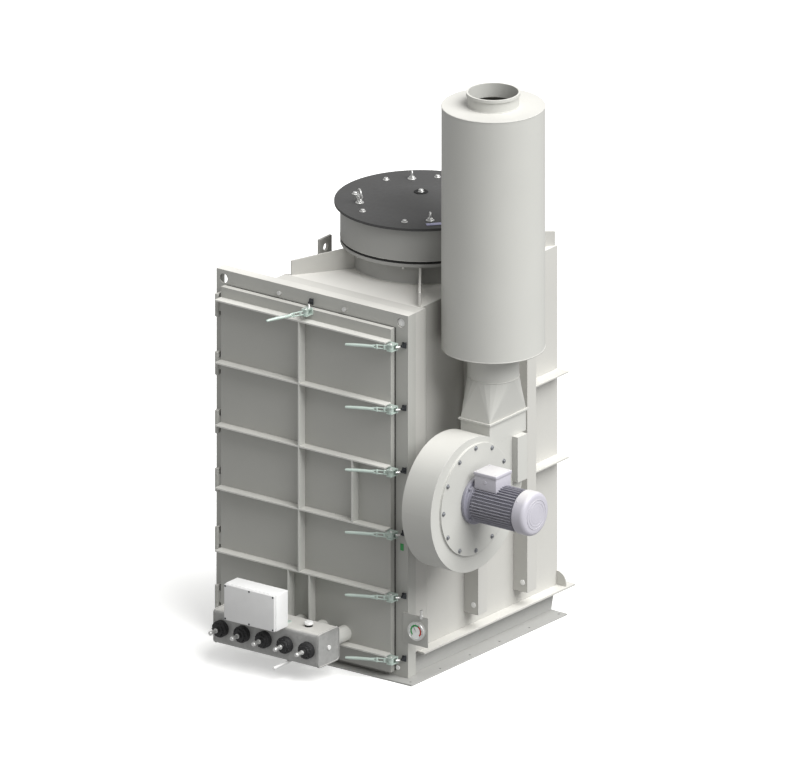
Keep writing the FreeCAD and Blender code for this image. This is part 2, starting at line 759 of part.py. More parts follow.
# Lifting lugs on the roof edges.
lugs = []
for side, sign in SIDES:
    lug_x = ("body_half_width - lug_thickness", "body_half_width")
    if sign < 0:
        lug_x = ("-body_half_width", "lug_thickness - body_half_width")
    lug = block("lug_plate_" + side, lug_x, ("lug_front", "lug_back"), ("body_top", "lug_top"))
    hole = rod("lug_hole_" + side, "x", "lug_hole_radius",
               ("(lug_front + lug_back) / 2", "lug_top - (lug_back - lug_front) / 2"), lug_x[0], lug_x[1])
    lugs.append(cut("lifting_lug_" + side, lug, hole))
node(group("lifting_lugs", lugs))

# Fan: inlet spigot, scroll, cover with its ring of bolts, and the outlet duct.
axis = ("fan_y", "fan_z")
node(rod("fan_spigot", "x", "spigot_radius", axis, "chamber_half_width", "scroll_back"))
scroll = plate("scroll_case", "YZ_Plane",
               (("volute_back", "0"), ("volute_back", "volute_outlet_z"),
                ("volute_throat_y", "volute_outlet_z"), ("volute_throat_y", "volute_throat_z"),
                ("0", "volute_top"), ("-volute_front", "0"), ("0", "-volute_bottom")),
               "scroll_back", "scroll_front",
               {3: "throat_round", 4: "top_round", 5: "front_round", 6: "bottom_round"})
place(scroll, STRAIGHT, "0", "fan_y", "fan_z")
passage = plate("scroll_passage", "YZ_Plane",
                (("volute_back - wall", "0"), ("volute_back - wall", "volute_outlet_z"),
                 ("volute_throat_y - wall", "volute_outlet_z"),
                 ("volute_throat_y - wall", "volute_throat_z - wall"), ("0", "volute_top - wall"),
                 ("wall - volute_front", "0"), ("0", "wall - volute_bottom")),
                "scroll_back + wall", "scroll_front - wall",
                {3: "throat_round - wall", 4: "top_round - wall", 5: "front_round - wall",
                 6: "bottom_round - wall"})
place(passage, STRAIGHT, "0", "fan_y", "fan_z")
impeller_opening = rod("impeller_opening", "x", "impeller_opening_radius", axis,
                       "scroll_front - wall", "scroll_front")
node(cut_all("fan_scroll", scroll, [passage, impeller_opening]))
node(block("scroll_stiffener", ("scroll_front", "scroll_front + stiffener_depth"),
           ("fan_y + volute_back - stiffener_width", "fan_y + volute_back"),
           ("fan_z", "fan_z + volute_outlet_z")))
node(rod("fan_cover", "x", "cover_radius", axis, "scroll_front", "scroll_front + cover_thickness"))
node(group("cover_bolts", [
    hexagon("cover_bolt_%d" % number, "x", "cover_bolt_radius",
            around(axis, "cover_bolt_circle", 30 * number), "scroll_front + cover_thickness",
            "cover_bolt_height")
    for number in range(12)
]))
collar_low = "fan_z + volute_outlet_z"
collar_sleeve = block("collar_sleeve", ("scroll_back", "scroll_front"), ("collar_front", "collar_back"),
                      (collar_low, "collar_top - collar_lip"))
collar_flange = block("collar_flange", ("scroll_back - collar_lip", "scroll_front + collar_lip"),
                      ("collar_front - collar_lip", "collar_back + collar_lip"),
                      ("collar_top - collar_lip", "collar_top"))
collar_solid = fuse("collar_solid", [collar_sleeve, collar_flange])
collar_passage = block("collar_passage", ("scroll_back + wall", "scroll_front - wall"),
                       ("collar_front + wall", "collar_back - wall"), (collar_low, "collar_top"))
node(cut("fan_collar", collar_solid, collar_passage))

# Square-to-round transition: flat triangles between the collar's corners and the duct.
def hopper(half_x, half_y, radius):
    middle = FreeCAD.Vector(size("silencer_x"), size("silencer_y"), 0)
    low = middle + FreeCAD.Vector(0, 0, size("collar_top"))
    high = middle + FreeCAD.Vector(0, 0, size("transition_top"))
    corners = [
        low + FreeCAD.Vector(half_x * across, half_y * along, 0)
        for across, along in ((1, 1), (-1, 1), (-1, -1), (1, -1))
    ]
    rim = []
    for number in range(24):
        turn = math.radians(15 * number)
        rim.append(high + FreeCAD.Vector(math.cos(turn), math.sin(turn), 0) * radius)
    faces = [Part.Face(Part.makePolygon(ends + ends[:1])) for ends in (corners, rim)]
    for number in range(24):
        corner = corners[number // 6]
        faces.append(Part.Face(Part.makePolygon([corner, rim[number], rim[(number + 1) % 24], corner])))
    for number in range(4):
        first, second = corners[number - 1], corners[number]
        faces.append(Part.Face(Part.makePolygon([first, second, rim[6 * number], first])))
    solid = Part.Solid(Part.Shell(faces))
    if solid.Volume < 0:
        solid.reverse()
    return solid


half_x = size("(scroll_front - scroll_back) / 2")
half_y = size("(collar_back - collar_front) / 2")
sheet_wall = size("wall")
transition = doc.addObject("Part::Feature", "duct_transition")
transition.Shape = hopper(half_x, half_y, size("duct_radius")).cut(
    hopper(half_x - sheet_wall, half_y - sheet_wall, size("duct_radius - duct_wall")))
duct_neck = tube("duct_neck", "duct_radius", "duct_radius - duct_wall", ("silencer_x", "silencer_y"),
                 "transition_top", "silencer_low")
node(group("fan_duct", [transition, duct_neck]))
silencer = turned("silencer", "XZ_Plane", "V_Axis",
                  (("duct_radius - duct_wall", "silencer_low"), ("silencer_radius", "silencer_low"),
                   ("silencer_radius", "silencer_top"), ("duct_radius", "silencer_top"),
                   ("duct_radius", "outlet_top - outlet_lip_height"),
                   ("duct_radius + outlet_lip", "outlet_top - outlet_lip_height"),
                   ("duct_radius + outlet_lip", "outlet_top"), ("duct_radius - duct_wall", "outlet_top"),
                   ("duct_radius - duct_wall", "silencer_top - duct_wall"),
                   ("silencer_radius - duct_wall", "silencer_top - duct_wall"),
                   ("silencer_radius - duct_wall", "silencer_low + duct_wall"),
                   ("duct_radius - duct_wall", "silencer_low + duct_wall")))
place(silencer, STRAIGHT, "silencer_x", "silencer_y", "0")
node(silencer)

# Motor with cooling fins, fan cowl and terminal box.
motor_start = "scroll_front + cover_thickness"
motor_core = motor_start + " + motor_flange_thickness"
motor = turned("motor", "XY_Plane", "H_Axis",
               ((motor_start, "0"), ("cowl_end", "0"), ("cowl_end", "cowl_face_radius"),
                ("cowl_straight_end", "cowl_radius"), ("motor_end", "cowl_radius"),
                ("motor_end", "motor_core_radius"), (motor_core, "motor_core_radius"),
                (motor_core, "motor_flange_radius"), (motor_start, "motor_flange_radius")))
fin_outline = sketch(motor, "fin_outline", "XY_Plane", "-motor_fin_thickness / 2")
outline(fin_outline, rectangle(motor_core + " + motor_fin_margin", "motor_end",
                               "motor_core_radius - motor_fin_margin", "motor_fin_radius"))
fin = pad(motor, "fin", fin_outline, "motor_fin_thickness")
fins = motor.newObject("PartDesign::PolarPattern", "fins")
fins.Originals = [fin]
fins.Axis = (datum(motor, "X_Axis"), [""])
fins.Angle = 360
fins.setExpression("Occurrences", cell("motor_fin_count"))
motor.Tip = fins
place(motor, STRAIGHT, "0", "fan_y", "fan_z")
node(motor)
node(block("terminal_box", ("terminal_low_x", "terminal_high_x"),
           ("fan_y - terminal_half_width", "fan_y + terminal_half_width"),
           ("fan_z + motor_fin_radius", "terminal_top")))

# Pressure gauge on its plate beside the frame.
gauge_face = "frame_front - gauge_plate_thickness"
node(block("gauge_plate", ("gauge_plate_left", "gauge_plate_right"), (gauge_face, "frame_front"),
           ("gauge_plate_low", "gauge_plate_top")))
node(group("gauge", [
    facets("gauge_case", "y", 32, "gauge_radius", ("gauge_x", "gauge_z"),
           gauge_face + " - gauge_depth", "gauge_depth"),
    facets("gauge_nipple", "z", 12, "nipple_radius",
           ("nipple_x", "frame_front - gauge_plate_thickness / 2"),
           "gauge_plate_top", "nipple_height"),
]))

# Door: a pan with a folded rim, level ribs, upright bars and a short bar by the levers.
door_back = "frame_front - door_clearance"
door_face = "frame_front - door_clearance - door_thickness"
panel = plate("door_panel", "XZ_Plane", rectangle("door_left", "door_right", "door_low", "door_top"),
              door_face, door_back)
hollow = sketch(panel, "door_hollow_outline", "XZ_Plane", "-(%s)" % door_back)
outline(hollow, rectangle("door_left + door_rim", "door_right - door_rim",
                          "door_low + door_rim", "door_top - door_rim"))
solid_panel = panel.Tip
door_hollow = pocket(panel, "door_hollow", hollow, "door_thickness - door_skin", True)
doc.recompute()
if not door_hollow.Shape.Volume < solid_panel.Shape.Volume:
    raise RuntimeError("the door pan cuts nothing")
node(panel)
rib_y = (door_face + " - door_rib_depth", door_face)
node(group("door_ribs", [
    block("door_rib_%d" % level, ("door_left", "door_right"), rib_y,
          (rib_z(level), rib_z(level) + " + bar_thickness"))
    for level in RIB_LEVELS
]))
bars = []
for level in RIB_LEVELS[:-1]:
    spots = ("door_bar_x",) if level else ("door_bar_left_x", "door_bar_right_x")
    for spot in spots:
        bars.append(block("upright_%d_%s" % (level, spot), (spot, spot + " + bar_thickness"), rib_y,
                          (rib_z(level) + " + bar_thickness", rib_z(level + 1))))
bars.append(block("upright_top", ("door_bar_x", "door_bar_x + bar_thickness"),
                  (door_face + " - short_bar_depth", door_face),
                  (rib_z(TOP_LEVEL) + " + bar_thickness", "door_top")))
bars.append(block("hand_bar", ("hand_bar_x", "hand_bar_x + bar_thickness"), rib_y,
                  (rib_z(2) + " + bar_thickness", rib_z(3))))
node(group("door_uprights", bars))

# Door hinge: knuckles on the door between knuckles on the left post.
hinge = ("hinge_x", "hinge_y")
door_knuckles = []
frame_knuckles = []
for level in RIB_LEVELS:
    centre = "hinge_low + hinge_pitch * %d" % level
    span = (centre + " - knuckle_half", centre + " + knuckle_half")
    barrel = rod("door_barrel_%d" % level, "z", "knuckle_radius", hinge, span[0], span[1])
    leaf = block("door_leaf_%d" % level, ("hinge_x", "door_left"),
                 ("hinge_y", "hinge_y + leaf_thickness"), span)
    door_knuckles.append(fuse("door_knuckle_%d" % level, [barrel, leaf]))
    ends = ((span[0] + " - thrust_clearance - knuckle_end", span[0] + " - thrust_clearance"),
            (span[1] + " + thrust_clearance", span[1] + " + thrust_clearance + knuckle_end"))
    for name, end in zip(("lower", "upper"), ends):
        barrel = facets("%s_barrel_%d" % (name, level), "z", 12, "knuckle_radius", hinge, end[0],
                        "knuckle_end")
        leaf = block("%s_leaf_%d" % (name, level),
                     ("hinge_x - leaf_thickness / 2", "hinge_x + leaf_thickness / 2"),
                     ("hinge_y", "frame_front"), end)
        frame_knuckles.append(fuse("%s_knuckle_%d" % (name, level), [barrel, leaf]))
node(group("door_hinges", door_knuckles))
node(group("frame_hinges", frame_knuckles))

# Clamp levers: six down the free edge and one at the top that stands half open.
bracket_plates = []
ears = []


def clamp(label, x, z, plate_x, swing=0):
    ear_low = "(lever_half + thrust_clearance)"
    ear_high = "(lever_half + thrust_clearance + ear_thickness)"
    bracket_plates.append(block(label + "_base", plate_x, (door_face + " - bracket_thickness", door_face),
                                ("%s - %s" % (z, ear_high), "%s + %s" % (z, ear_high))))
    for name, start, end in (("upper", "%s + %s" % (z, ear_low), "%s + %s" % (z, ear_high)),
                             ("lower", "%s - %s" % (z, ear_high), "%s - %s" % (z, ear_low))):
        ears.append(block("%s_%s_ear" % (label, name), (x + " - ear_half_width", x + " + ear_half_width"),
                          ("lever_y - ear_half_width", door_face + " - bracket_thickness"), (start, end)))
    span = (z + " - lever_half", z + " + lever_half")
    hub = rod(label + "_hub", "z", "lever_hub_radius", (x, "lever_y"), span[0], span[1])
    arm = plate(label + "_arm", "XY_Plane",
                (("-lever_reach", "-lever_flare - lever_edge"), ("0", "-lever_edge"),
                 ("0", "lever_edge"), ("-lever_reach", "lever_edge - lever_flare")),
                "-lever_half", "lever_half")
    place(arm, FreeCAD.Rotation(FreeCAD.Vector(0, 0, 1), swing), x, "lever_y", z)
    node(fuse(label, [hub, arm]))


for level in RIB_LEVELS:
    clamp("clamp_lever_%d" % (level + 1), "lever_x", rib_z(level) + " - lever_drop",
          ("lever_x - bracket_inner_reach", "lever_x + bracket_outer_reach"))
clamp("clamp_lever_top", "lever_top_x", "lever_top_z",
      ("lever_top_x - bracket_outer_reach", "lever_top_x + bracket_outer_reach"), 45)
node(group("clamp_brackets", bracket_plates))
node(group("clamp_ears", ears))

# Compressed-air header tank with its diaphragm valves and pulse pipes.
def tank_outline(inset):
    low_y, high_y = "(tank_front + %s)" % inset, "(tank_back - %s)" % inset
    low_z, high_z = "(tank_low + %s)" % inset, "(tank_top - %s)" % inset
    bend = "(tank_round - %s)" % inset
    return ((low_y + " + " + bend, low_z), (high_y + " - " + bend, low_z), (high_y, low_z + " + " + bend),
            (high_y, high_z + " - " + bend), (high_y + " - " + bend, high_z),
            (low_y + " + " + bend, high_z), (low_y, high_z + " - " + bend), (low_y, low_z + " + " + bend))


bends = {1: "tank_round", 3: "tank_round", 5: "tank_round", 7: "tank_round"}
tank_shell = plate("tank_shell", "YZ_Plane", tank_outline("0"), "tank_left", "tank_right", bends)
inner_bends = {number: "tank_round - tank_wall" for number in bends}
tank_space = plate("tank_space", "YZ_Plane", tank_outline("tank_wall"),
                   "tank_left", "tank_right", inner_bends)
tank_tube = cut("tank_tube", tank_shell, tank_space)
tank_ends = [
    plate("tank_end_" + side, "YZ_Plane", tank_outline("tank_wall"), low, high, inner_bends)
    for side, low, high in (("left", "tank_left + tank_end_inset", "tank_left + tank_end_inset + tank_wall"),
                            ("right", "tank_right - tank_wall - tank_end_inset",
                             "tank_right - tank_end_inset"))
]
node(group("header_tank", [tank_tube] + tank_ends))
caps = []
pipes = []
for number in VALVES:
    spot = ("valve_x - valve_pitch * %d" % number, "valve_z")
    cap = facets("valve_cap_%d" % number, "y", 24, "valve_radius", spot,
                 "tank_front - valve_depth", "valve_depth")
    pilot = facets("valve_pilot_%d" % number, "y", 12, "pilot_radius", spot,
                   "tank_front - valve_depth - pilot_length", "pilot_length")
    caps.append(fuse("valve_%d" % number, [cap, pilot]))
    pipes.append(facets("pulse_pipe_%d" % number, "y", 24, "pulse_pipe_radius", spot, "tank_back",
                        "%s - (tank_back)" % door_face))
node(group("pulse_valves", caps))
node(group("pulse_pipes", pipes))
relief_stem = facets("relief_stem", "z", 16, "relief_radius", ("relief_x", "relief_y"), "tank_top",
                     "relief_height")
relief_cap = facets("relief_cap", "z", 16, "relief_cap_radius", ("relief_x", "relief_y"),
                    "tank_top + relief_height", "relief_cap_height")
node(fuse("relief_valve", [relief_stem, relief_cap]))
tank_middle = ("(tank_front + tank_back) / 2", "valve_z")
tank_plug = facets("tank_plug", "x", 16, "plug_radius", tank_middle, "tank_right - tank_end_inset",
                   "plug_length + tank_end_inset")
tank_drain = rod("tank_drain", "y", "drain_radius", ("drain_x", "tank_low - drain_radius"),
                 "drain_end", "drain_start")
node(group("tank_fittings", [tank_plug, tank_drain]))

# Valve control box on its bracket.
box_case = block("control_case", ("box_left", "box_right"), ("box_front + box_lid_thickness", "tank_front"),
                 ("box_low", "box_top"))
box_lid = block("control_lid", ("box_left + box_lid_inset", "box_right - box_lid_inset"),
                ("box_front", "box_front + box_lid_thickness"),
                ("box_low + box_lid_inset", "box_top - box_lid_inset"))
node(fuse("control_box", [box_case, box_lid]))
node(plate("box_bracket", "YZ_Plane",
           (("tank_front", "tank_top"), ("bracket_back", "tank_top"),
            ("bracket_back", "tank_top + bracket_plate"),
            ("tank_front + bracket_plate", "tank_top + bracket_plate"),
            ("tank_front + bracket_plate", "bracket_top"), ("tank_front", "bracket_top")),
           "bracket_left", "bracket_right"))

doc.recompute()
faulty = [item.Name for item in doc.Objects if {"Invalid", "Error"} & set(item.State)]
if faulty:
    raise RuntimeError("did not recompute: %s" % faulty)
os.makedirs("parts", exist_ok=True)
for item in nodes:
    shape = item.Shape
    if not shape.isValid() or not shape.Solids or shape.Volume <= 0:
        raise RuntimeError("no sound solid in " + item.Label)
    shape.exportStep("parts/%s.step" % item.Label)
print("nodes written:", len(nodes))
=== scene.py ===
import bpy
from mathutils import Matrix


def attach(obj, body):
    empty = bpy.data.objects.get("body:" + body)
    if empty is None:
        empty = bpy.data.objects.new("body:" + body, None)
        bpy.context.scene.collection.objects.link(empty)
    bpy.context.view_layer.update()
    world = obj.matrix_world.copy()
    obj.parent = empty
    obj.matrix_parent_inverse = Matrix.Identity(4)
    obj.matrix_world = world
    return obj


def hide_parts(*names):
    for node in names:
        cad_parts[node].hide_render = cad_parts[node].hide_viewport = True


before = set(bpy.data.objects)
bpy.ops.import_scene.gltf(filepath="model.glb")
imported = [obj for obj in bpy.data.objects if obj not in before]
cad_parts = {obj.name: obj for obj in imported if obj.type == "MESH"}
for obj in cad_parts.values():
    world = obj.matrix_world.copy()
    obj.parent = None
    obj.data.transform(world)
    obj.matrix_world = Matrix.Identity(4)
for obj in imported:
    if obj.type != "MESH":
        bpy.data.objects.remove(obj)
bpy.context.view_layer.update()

import math

import bmesh
import bpy
import numpy as np
from mathutils import Matrix, Vector

scene = bpy.context.scene
print("stage: frame loaded")

cameraSettings = {
    "aim": (0.157, -0.281, 1.404),
    "right": (0.8032, 0.5957, 0.0),
    "up": (-0.2028, 0.2734, 0.9403),
    "distance": 9.0,
    "width": 4.0,
}


# a parallel view from the photograph's side, its axes kept square to each other
def makeCamera(settings):
    right = Vector(settings["right"]).normalized()
    up = Vector(settings["up"]).normalized()
    back = right.cross(up).normalized()
    up = back.cross(right).normalized()
    data = bpy.data.cameras.new("photoCamera")
    data.type = "ORTHO"
    data.ortho_scale = settings["width"]
    data.clip_end = 100
    camera = bpy.data.objects.new("photoCamera", data)
    scene.collection.objects.link(camera)
    place = Vector(settings["aim"]) + back * settings["distance"]
    turn = Matrix((right, up, back)).transposed().to_4x4()
    camera.matrix_world = Matrix.Translation(place) @ turn
    scene.camera = camera


lightSettings = {
    "glow": 0.35,  # how bright the floor looks, to the camera alone
    "ambient": 0.48,  # how much light the white surround gives the object
    "key": {"from": (0.64, 0.02, 0.77), "strength": 4.6, "spread": 55},
    "floor": "#f7f7f5",
}


# one broad sun, turned so that it shines from the given direction
def makeSun(name, settings):
    data = bpy.data.lights.new(name, "SUN")
    data.energy = settings["strength"]
    data.angle = math.radians(settings["spread"])
    sun = bpy.data.objects.new(name, data)
    scene.collection.objects.link(sun)
    sun.rotation_euler = Vector(settings["from"]).to_track_quat("Z", "Y").to_euler()


# an sRGB hex colour as linear light
def linear(code):
    channels = [int(code[start:start + 2], 16) / 255 for start in (1, 3, 5)]
    bent = [c / 12.92 if c <= 0.04045 else ((c + 0.055) / 1.055) ** 2.4 for c in channels]
    return tuple(bent) + (1.0,)


# a lighter or darker copy of a colour
def shade(colour, factor):
    return tuple(min(1.0, channel * factor) for channel in colour[:3]) + (1.0,)


def addNode(tree, kind, values=None, **attributes):
    node = tree.nodes.new(kind)
    for key, value in attributes.items():
        setattr(node, key, value)
    for key, value in (values or {}).items():
        node.inputs[key].default_value = value
    return node


# two colours mixed by a factor, each of them a fixed value or a socket
def mixColour(tree, factor, first, second):
    node = addNode(tree, "ShaderNodeMix", data_type="RGBA")
    sockets = {"Factor": node.inputs[0], "A": node.inputs[6], "B": node.inputs[7]}
    for key, source in (("Factor", factor), ("A", first), ("B", second)):
        if isinstance(source, (tuple, float)):
            sockets[key].default_value = source
        else:
            tree.links.new(source, sockets[key])
    return node.outputs[2]


def mapRange(tree, source, low, high, newLow, newHigh):
    node = addNode(tree, "ShaderNodeMapRange",
                   {"From Min": low, "From Max": high, "To Min": newLow, "To Max": newHigh})
    tree.links.new(source, node.inputs["Value"])
    return node.outputs["Result"]


def multiply(tree, first, second):
    node = addNode(tree, "ShaderNodeMath", operation="MULTIPLY")
    tree.links.new(first, node.inputs[0])
    if isinstance(second, float):
        node.inputs[1].default_value = second
    else:
        tree.links.new(second, node.inputs[1])
    return node.outputs[0]


# noise on Object coordinates, where a small scale in Z draws it out into runs
def noise(tree, coordinates, scale, detail=3.0, stretch=None):
    if stretch:
        mapping = addNode(tree, "ShaderNodeMapping")
        mapping.inputs["Scale"].default_value = stretch
        tree.links.new(coordinates, mapping.inputs["Vector"])
        coordinates = mapping.outputs["Vector"]
    node = addNode(tree, "ShaderNodeTexNoise", {"Scale": scale, "Detail": detail})
    tree.links.new(coordinates, node.inputs["Vector"])
    return node.outputs["Fac"]


def startMaterial(name):
    material = bpy.data.materials.new(name)
    material.use_nodes = True
    tree = material.node_tree
    shader = tree.nodes["Principled BSDF"]
    coordinates = addNode(tree, "ShaderNodeTexCoord").outputs["Object"]
    return material, tree, shader, coordinates


# rounded edges as light sees them, how near an edge a point is, and which way its face looks
def softEdges(tree, radius):
    bevel = addNode(tree, "ShaderNodeBevel", {"Radius": radius}, samples=6)
    geometry = addNode(tree, "ShaderNodeNewGeometry")
    dot = addNode(tree, "ShaderNodeVectorMath", operation="DOT_PRODUCT")
    tree.links.new(bevel.outputs["Normal"], dot.inputs[0])
    tree.links.new(geometry.outputs["Normal"], dot.inputs[1])
    edge = mapRange(tree, dot.outputs["Value"], 0.999, 0.90, 0.0, 1.0)
    return bevel.outputs["Normal"], edge, geometry.outputs["Normal"]


def bump(tree, shader, height, strength, distance, normal=None):
    node = addNode(tree, "ShaderNodeBump", {"Strength": strength, "Distance": distance})
    tree.links.new(height, node.inputs["Height"])
    if normal is not None:
        tree.links.new(normal, node.inputs["Normal"])
    tree.links.new(node.outputs["Normal"], shader.inputs["Normal"])


dustAndTopLightColour = "#e6e4de"  # pale dust and painted top light on the faces that look up


# sprayed polyester powder coat on sheet steel: an even sheen with faint orange peel, runs and
# specks, paler at the edges with wear and a painted highlight, and paler where it looks up with dust and
# painted top light
def paintMaterial(name, settings):
    material, tree, shader, coordinates = startMaterial(name)
    base = linear(settings["colour"])
    spread = settings.get("mottle", 0.03)
    broad = noise(tree, coordinates, 1.6)
    fine = noise(tree, coordinates, 38.0, 5.0)
    runs = noise(tree, coordinates, 5.0, 4.0, (1.6, 1.6, 0.12))
    colour = mixColour(tree, mapRange(tree, broad, 0.3, 0.7, 0.0, 1.0),
                       shade(base, 1 - spread), shade(base, 1 + spread))
    colour = mixColour(tree, mapRange(tree, runs, 0.55, 0.75, 0.0, settings.get("runs", 0.10)),
                       colour, shade(base, 0.86))
    colour = mixColour(tree, mapRange(tree, fine, 0.62, 0.80, 0.0, settings.get("specks", 0.12)),
                       colour, shade(base, 0.80))
    normal, edge, facing = softEdges(tree, settings.get("bevel", 0.0025))
    # faces that look up turn paler: dust, and painted top light
    split = addNode(tree, "ShaderNodeSeparateXYZ")
    tree.links.new(facing, split.inputs[0])
    upward = mapRange(tree, split.outputs["Z"], 0.6, 1.0, 0.0, 1.0)
    most = settings.get("dustAndTopLight", 0.60)
    dustAndTopLight = multiply(tree, upward, mapRange(tree, broad, 0.35, 0.65, most * 0.6, most))
    colour = mixColour(tree, dustAndTopLight, colour, linear(dustAndTopLightColour))
    # edges turn paler: wear, and a painted highlight
    wornAndHighlit = multiply(tree, edge, mapRange(tree, fine, 0.30, 0.70, 0.2, settings.get("wear", 0.55)))
    colour = mixColour(tree, wornAndHighlit, colour, shade(base, settings.get("edgeShade", 1.12)))
    tree.links.new(colour, shader.inputs["Base Color"])
    tree.links.new(mapRange(tree, fine, 0.2, 0.8, settings["rough"] - 0.05, settings["rough"] + 0.06),
                   shader.inputs["Roughness"])
    peel = noise(tree, coordinates, settings.get("peel", 420.0), 2.0)
    bump(tree, shader, peel, settings.get("peelStrength", 0.10), 0.0004, normal)
    return material


# plated or galvanised steel: a soft sheen, broken by fine grain or by spangles about 14 mm wide
def metalMaterial(name, settings):
    material, tree, shader, coordinates = startMaterial(name)
    base = linear(settings["colour"])
    shader.inputs["Metallic"].default_value = settings.get("metallic", 1.0)
    if settings.get("spangle"):
        cells = addNode(tree, "ShaderNodeTexVoronoi", {"Scale": settings["spangle"]})
        tree.links.new(coordinates, cells.inputs["Vector"])
        grain = addNode(tree, "ShaderNodeSeparateColor")
        tree.links.new(cells.outputs["Color"], grain.inputs[0])
        factor = grain.outputs[0]
    else:
        factor = noise(tree, coordinates, 60.0, 4.0, settings.get("brush", (1.0, 1.0, 12.0)))
    broad = noise(tree, coordinates, 9.0, 4.0)
    spread = settings["spread"]
    colour = mixColour(tree, factor, shade(base, 1 - spread), shade(base, 1 + spread))
    colour = mixColour(tree, mapRange(tree, broad, 0.50, 0.75, 0.0, 0.35), colour, shade(base, 0.72))
    normal, edge, facing = softEdges(tree, settings.get("bevel", 0.0015))
    # faces that look up turn paler: dust, and painted top light
    if settings.get("dustAndTopLight"):
        split = addNode(tree, "ShaderNodeSeparateXYZ")
        tree.links.new(facing, split.inputs[0])
        dustAndTopLight = mapRange(tree, split.outputs["Z"], 0.6, 1.0, 0.0, settings["dustAndTopLight"])
        colour = mixColour(tree, dustAndTopLight, colour, linear(dustAndTopLightColour))
    # a painted highlight along the edges
    colour = mixColour(tree, multiply(tree, edge, 0.5), colour, shade(base, 1.35))
    tree.links.new(colour, shader.inputs["Base Color"])
    tree.links.new(mapRange(tree, factor, 0.0, 1.0, settings["rough"] - 0.07, settings["rough"] + 0.09),
                   shader.inputs["Roughness"])
    bump(tree, shader, factor, 0.08, 0.0003, normal)
    return material


# moulded plastic or rubber: one colour with a painted highlight along the edges, and a grain of about 3 mm
def plasticMaterial(name, settings):
    material, tree, shader, coordinates = startMaterial(name)
    base = linear(settings["colour"])
    broad = noise(tree, coordinates, 14.0, 4.0)
    fine = noise(tree, coordinates, 300.0, 2.0)
    colour = mixColour(tree, broad, shade(base, 0.93), shade(base, 1.05))
    normal, edge = softEdges(tree, settings.get("bevel", 0.0015))[:2]
    highlightColour = shade(base, settings.get("edgeShade", 1.15))
    colour = mixColour(tree, multiply(tree, edge, 0.35), colour, highlightColour)
    tree.links.new(colour, shader.inputs["Base Color"])
    tree.links.new(mapRange(tree, broad, 0.2, 0.8, settings["rough"] - 0.05, settings["rough"] + 0.08),
                   shader.inputs["Roughness"])
    bump(tree, shader, fine, 0.12, 0.0003, normal)
    return material


materials = {
    "greyPaint": paintMaterial("lightGreyPowderCoat", {"colour": "#b9b8b3", "rough": 0.50}),
    # a darker copy of the grey coat for the door panel: painted shade on its front
    "doorShadedPaint": paintMaterial("doorPowderCoatPaintedShade", {"colour": "#a8a8a3", "rough": 0.48}),
    # a lighter copy of the grey coat for the door's ribs and pipes: painted light
    "ribLitPaint": paintMaterial("ribPowderCoatPaintedLight", {"colour": "#c9c9c4", "rough": 0.48}),
    # a lighter copy of the grey coat for the roof: painted top light
    "roofLitPaint": paintMaterial("roofPowderCoatPaintedLight", {"colour": "#d9d8d4", "rough": 0.50, "dustAndTopLight": 0.90}),
    # a darker copy of the grey coat for the vent's neck and ring: painted shade under the lid
    "ventShadedPaint": paintMaterial("ventPowderCoatPaintedShade", {"colour": "#9e9e9b", "rough": 0.50, "dustAndTopLight": 0.30}),
    "framePaint": paintMaterial("framePowderCoat", {"colour": "#adada8", "rough": 0.48, "dustAndTopLight": 0.95}),
    "skirtPaint": paintMaterial("skirtPowderCoat", {"colour": "#a3a3a0", "rough": 0.55, "runs": 0.18,
                                                        "dustAndTopLight": 0.10}),
    "fanPaint": paintMaterial("fanPowderCoat", {"colour": "#bbbbb6", "rough": 0.46}),
    # the dark lid's edges carry a strong painted highlight
    "lidPaint": paintMaterial("ventLidDarkPaint", {"colour": "#3f3f3f", "rough": 0.55, "dustAndTopLight": 0.02,
                                                   "edgeShade": 1.5, "mottle": 0.06}),
    "motorPaint": paintMaterial("motorEnamel", {"colour": "#8b8a95", "rough": 0.38, "dustAndTopLight": 0.30}),
    "cowlPaint": paintMaterial("cowlEnamel", {"colour": "#b4b2ba", "rough": 0.38}),
    "labelPlate": metalMaterial("anodisedBlankPlate", {"colour": "#b3b3d0", "rough": 0.40, "spread": 0.05,
                                                       "metallic": 0.4}),
    "zinc": metalMaterial("zincPlatedSteel", {"colour": "#bccac2", "rough": 0.36, "spread": 0.08,
                                              "metallic": 0.25}),
    "coverBolt": metalMaterial("dullPlatedSteel", {"colour": "#85878a", "rough": 0.42, "spread": 0.06,
                                                   "metallic": 0.5}),
    "darkSteel": metalMaterial("phosphatedSteel", {"colour": "#55575a", "rough": 0.50, "spread": 0.10}),
    "boltSteel": metalMaterial("brightPlatedSteel", {"colour": "#dcdcda", "rough": 0.32, "spread": 0.06,
                                                     "metallic": 0.7}),
    "galvanised": metalMaterial("galvanisedSteel", {"colour": "#a6a6a4", "rough": 0.46, "spread": 0.08,
                                                    "dustAndTopLight": 0.75, "spangle": 70.0,
                                                    "metallic": 0.15}),
    "rubber": plasticMaterial("blackRubber", {"colour": "#161616", "rough": 0.70}),
    # the valves' edges carry a strong painted highlight
    "blackPlastic": plasticMaterial("blackValveCasting", {"colour": "#222223", "rough": 0.45,
                                                          "edgeShade": 2.2}),
    "whitePlastic": plasticMaterial("whitePlastic", {"colour": "#ececea", "rough": 0.40}),
    "boxPlastic": plasticMaterial("enclosurePlastic", {"colour": "#e9e9e8", "rough": 0.42}),
    "lidPlastic": plasticMaterial("enclosureLidPlastic", {"colour": "#dddddc", "rough": 0.42}),
    "dialWhite": plasticMaterial("dialFace", {"colour": "#eef0ee", "rough": 0.5}),
    "dialGreen": plasticMaterial("dialGreenBand", {"colour": "#2f9a4c", "rough": 0.5}),
    "dialRed": plasticMaterial("dialRedBand", {"colour": "#c0342b", "rough": 0.5}),
    "tagGreen": plasticMaterial("greenTag", {"colour": "#3f9b57", "rough": 0.5}),
}
print("stage: materials made")

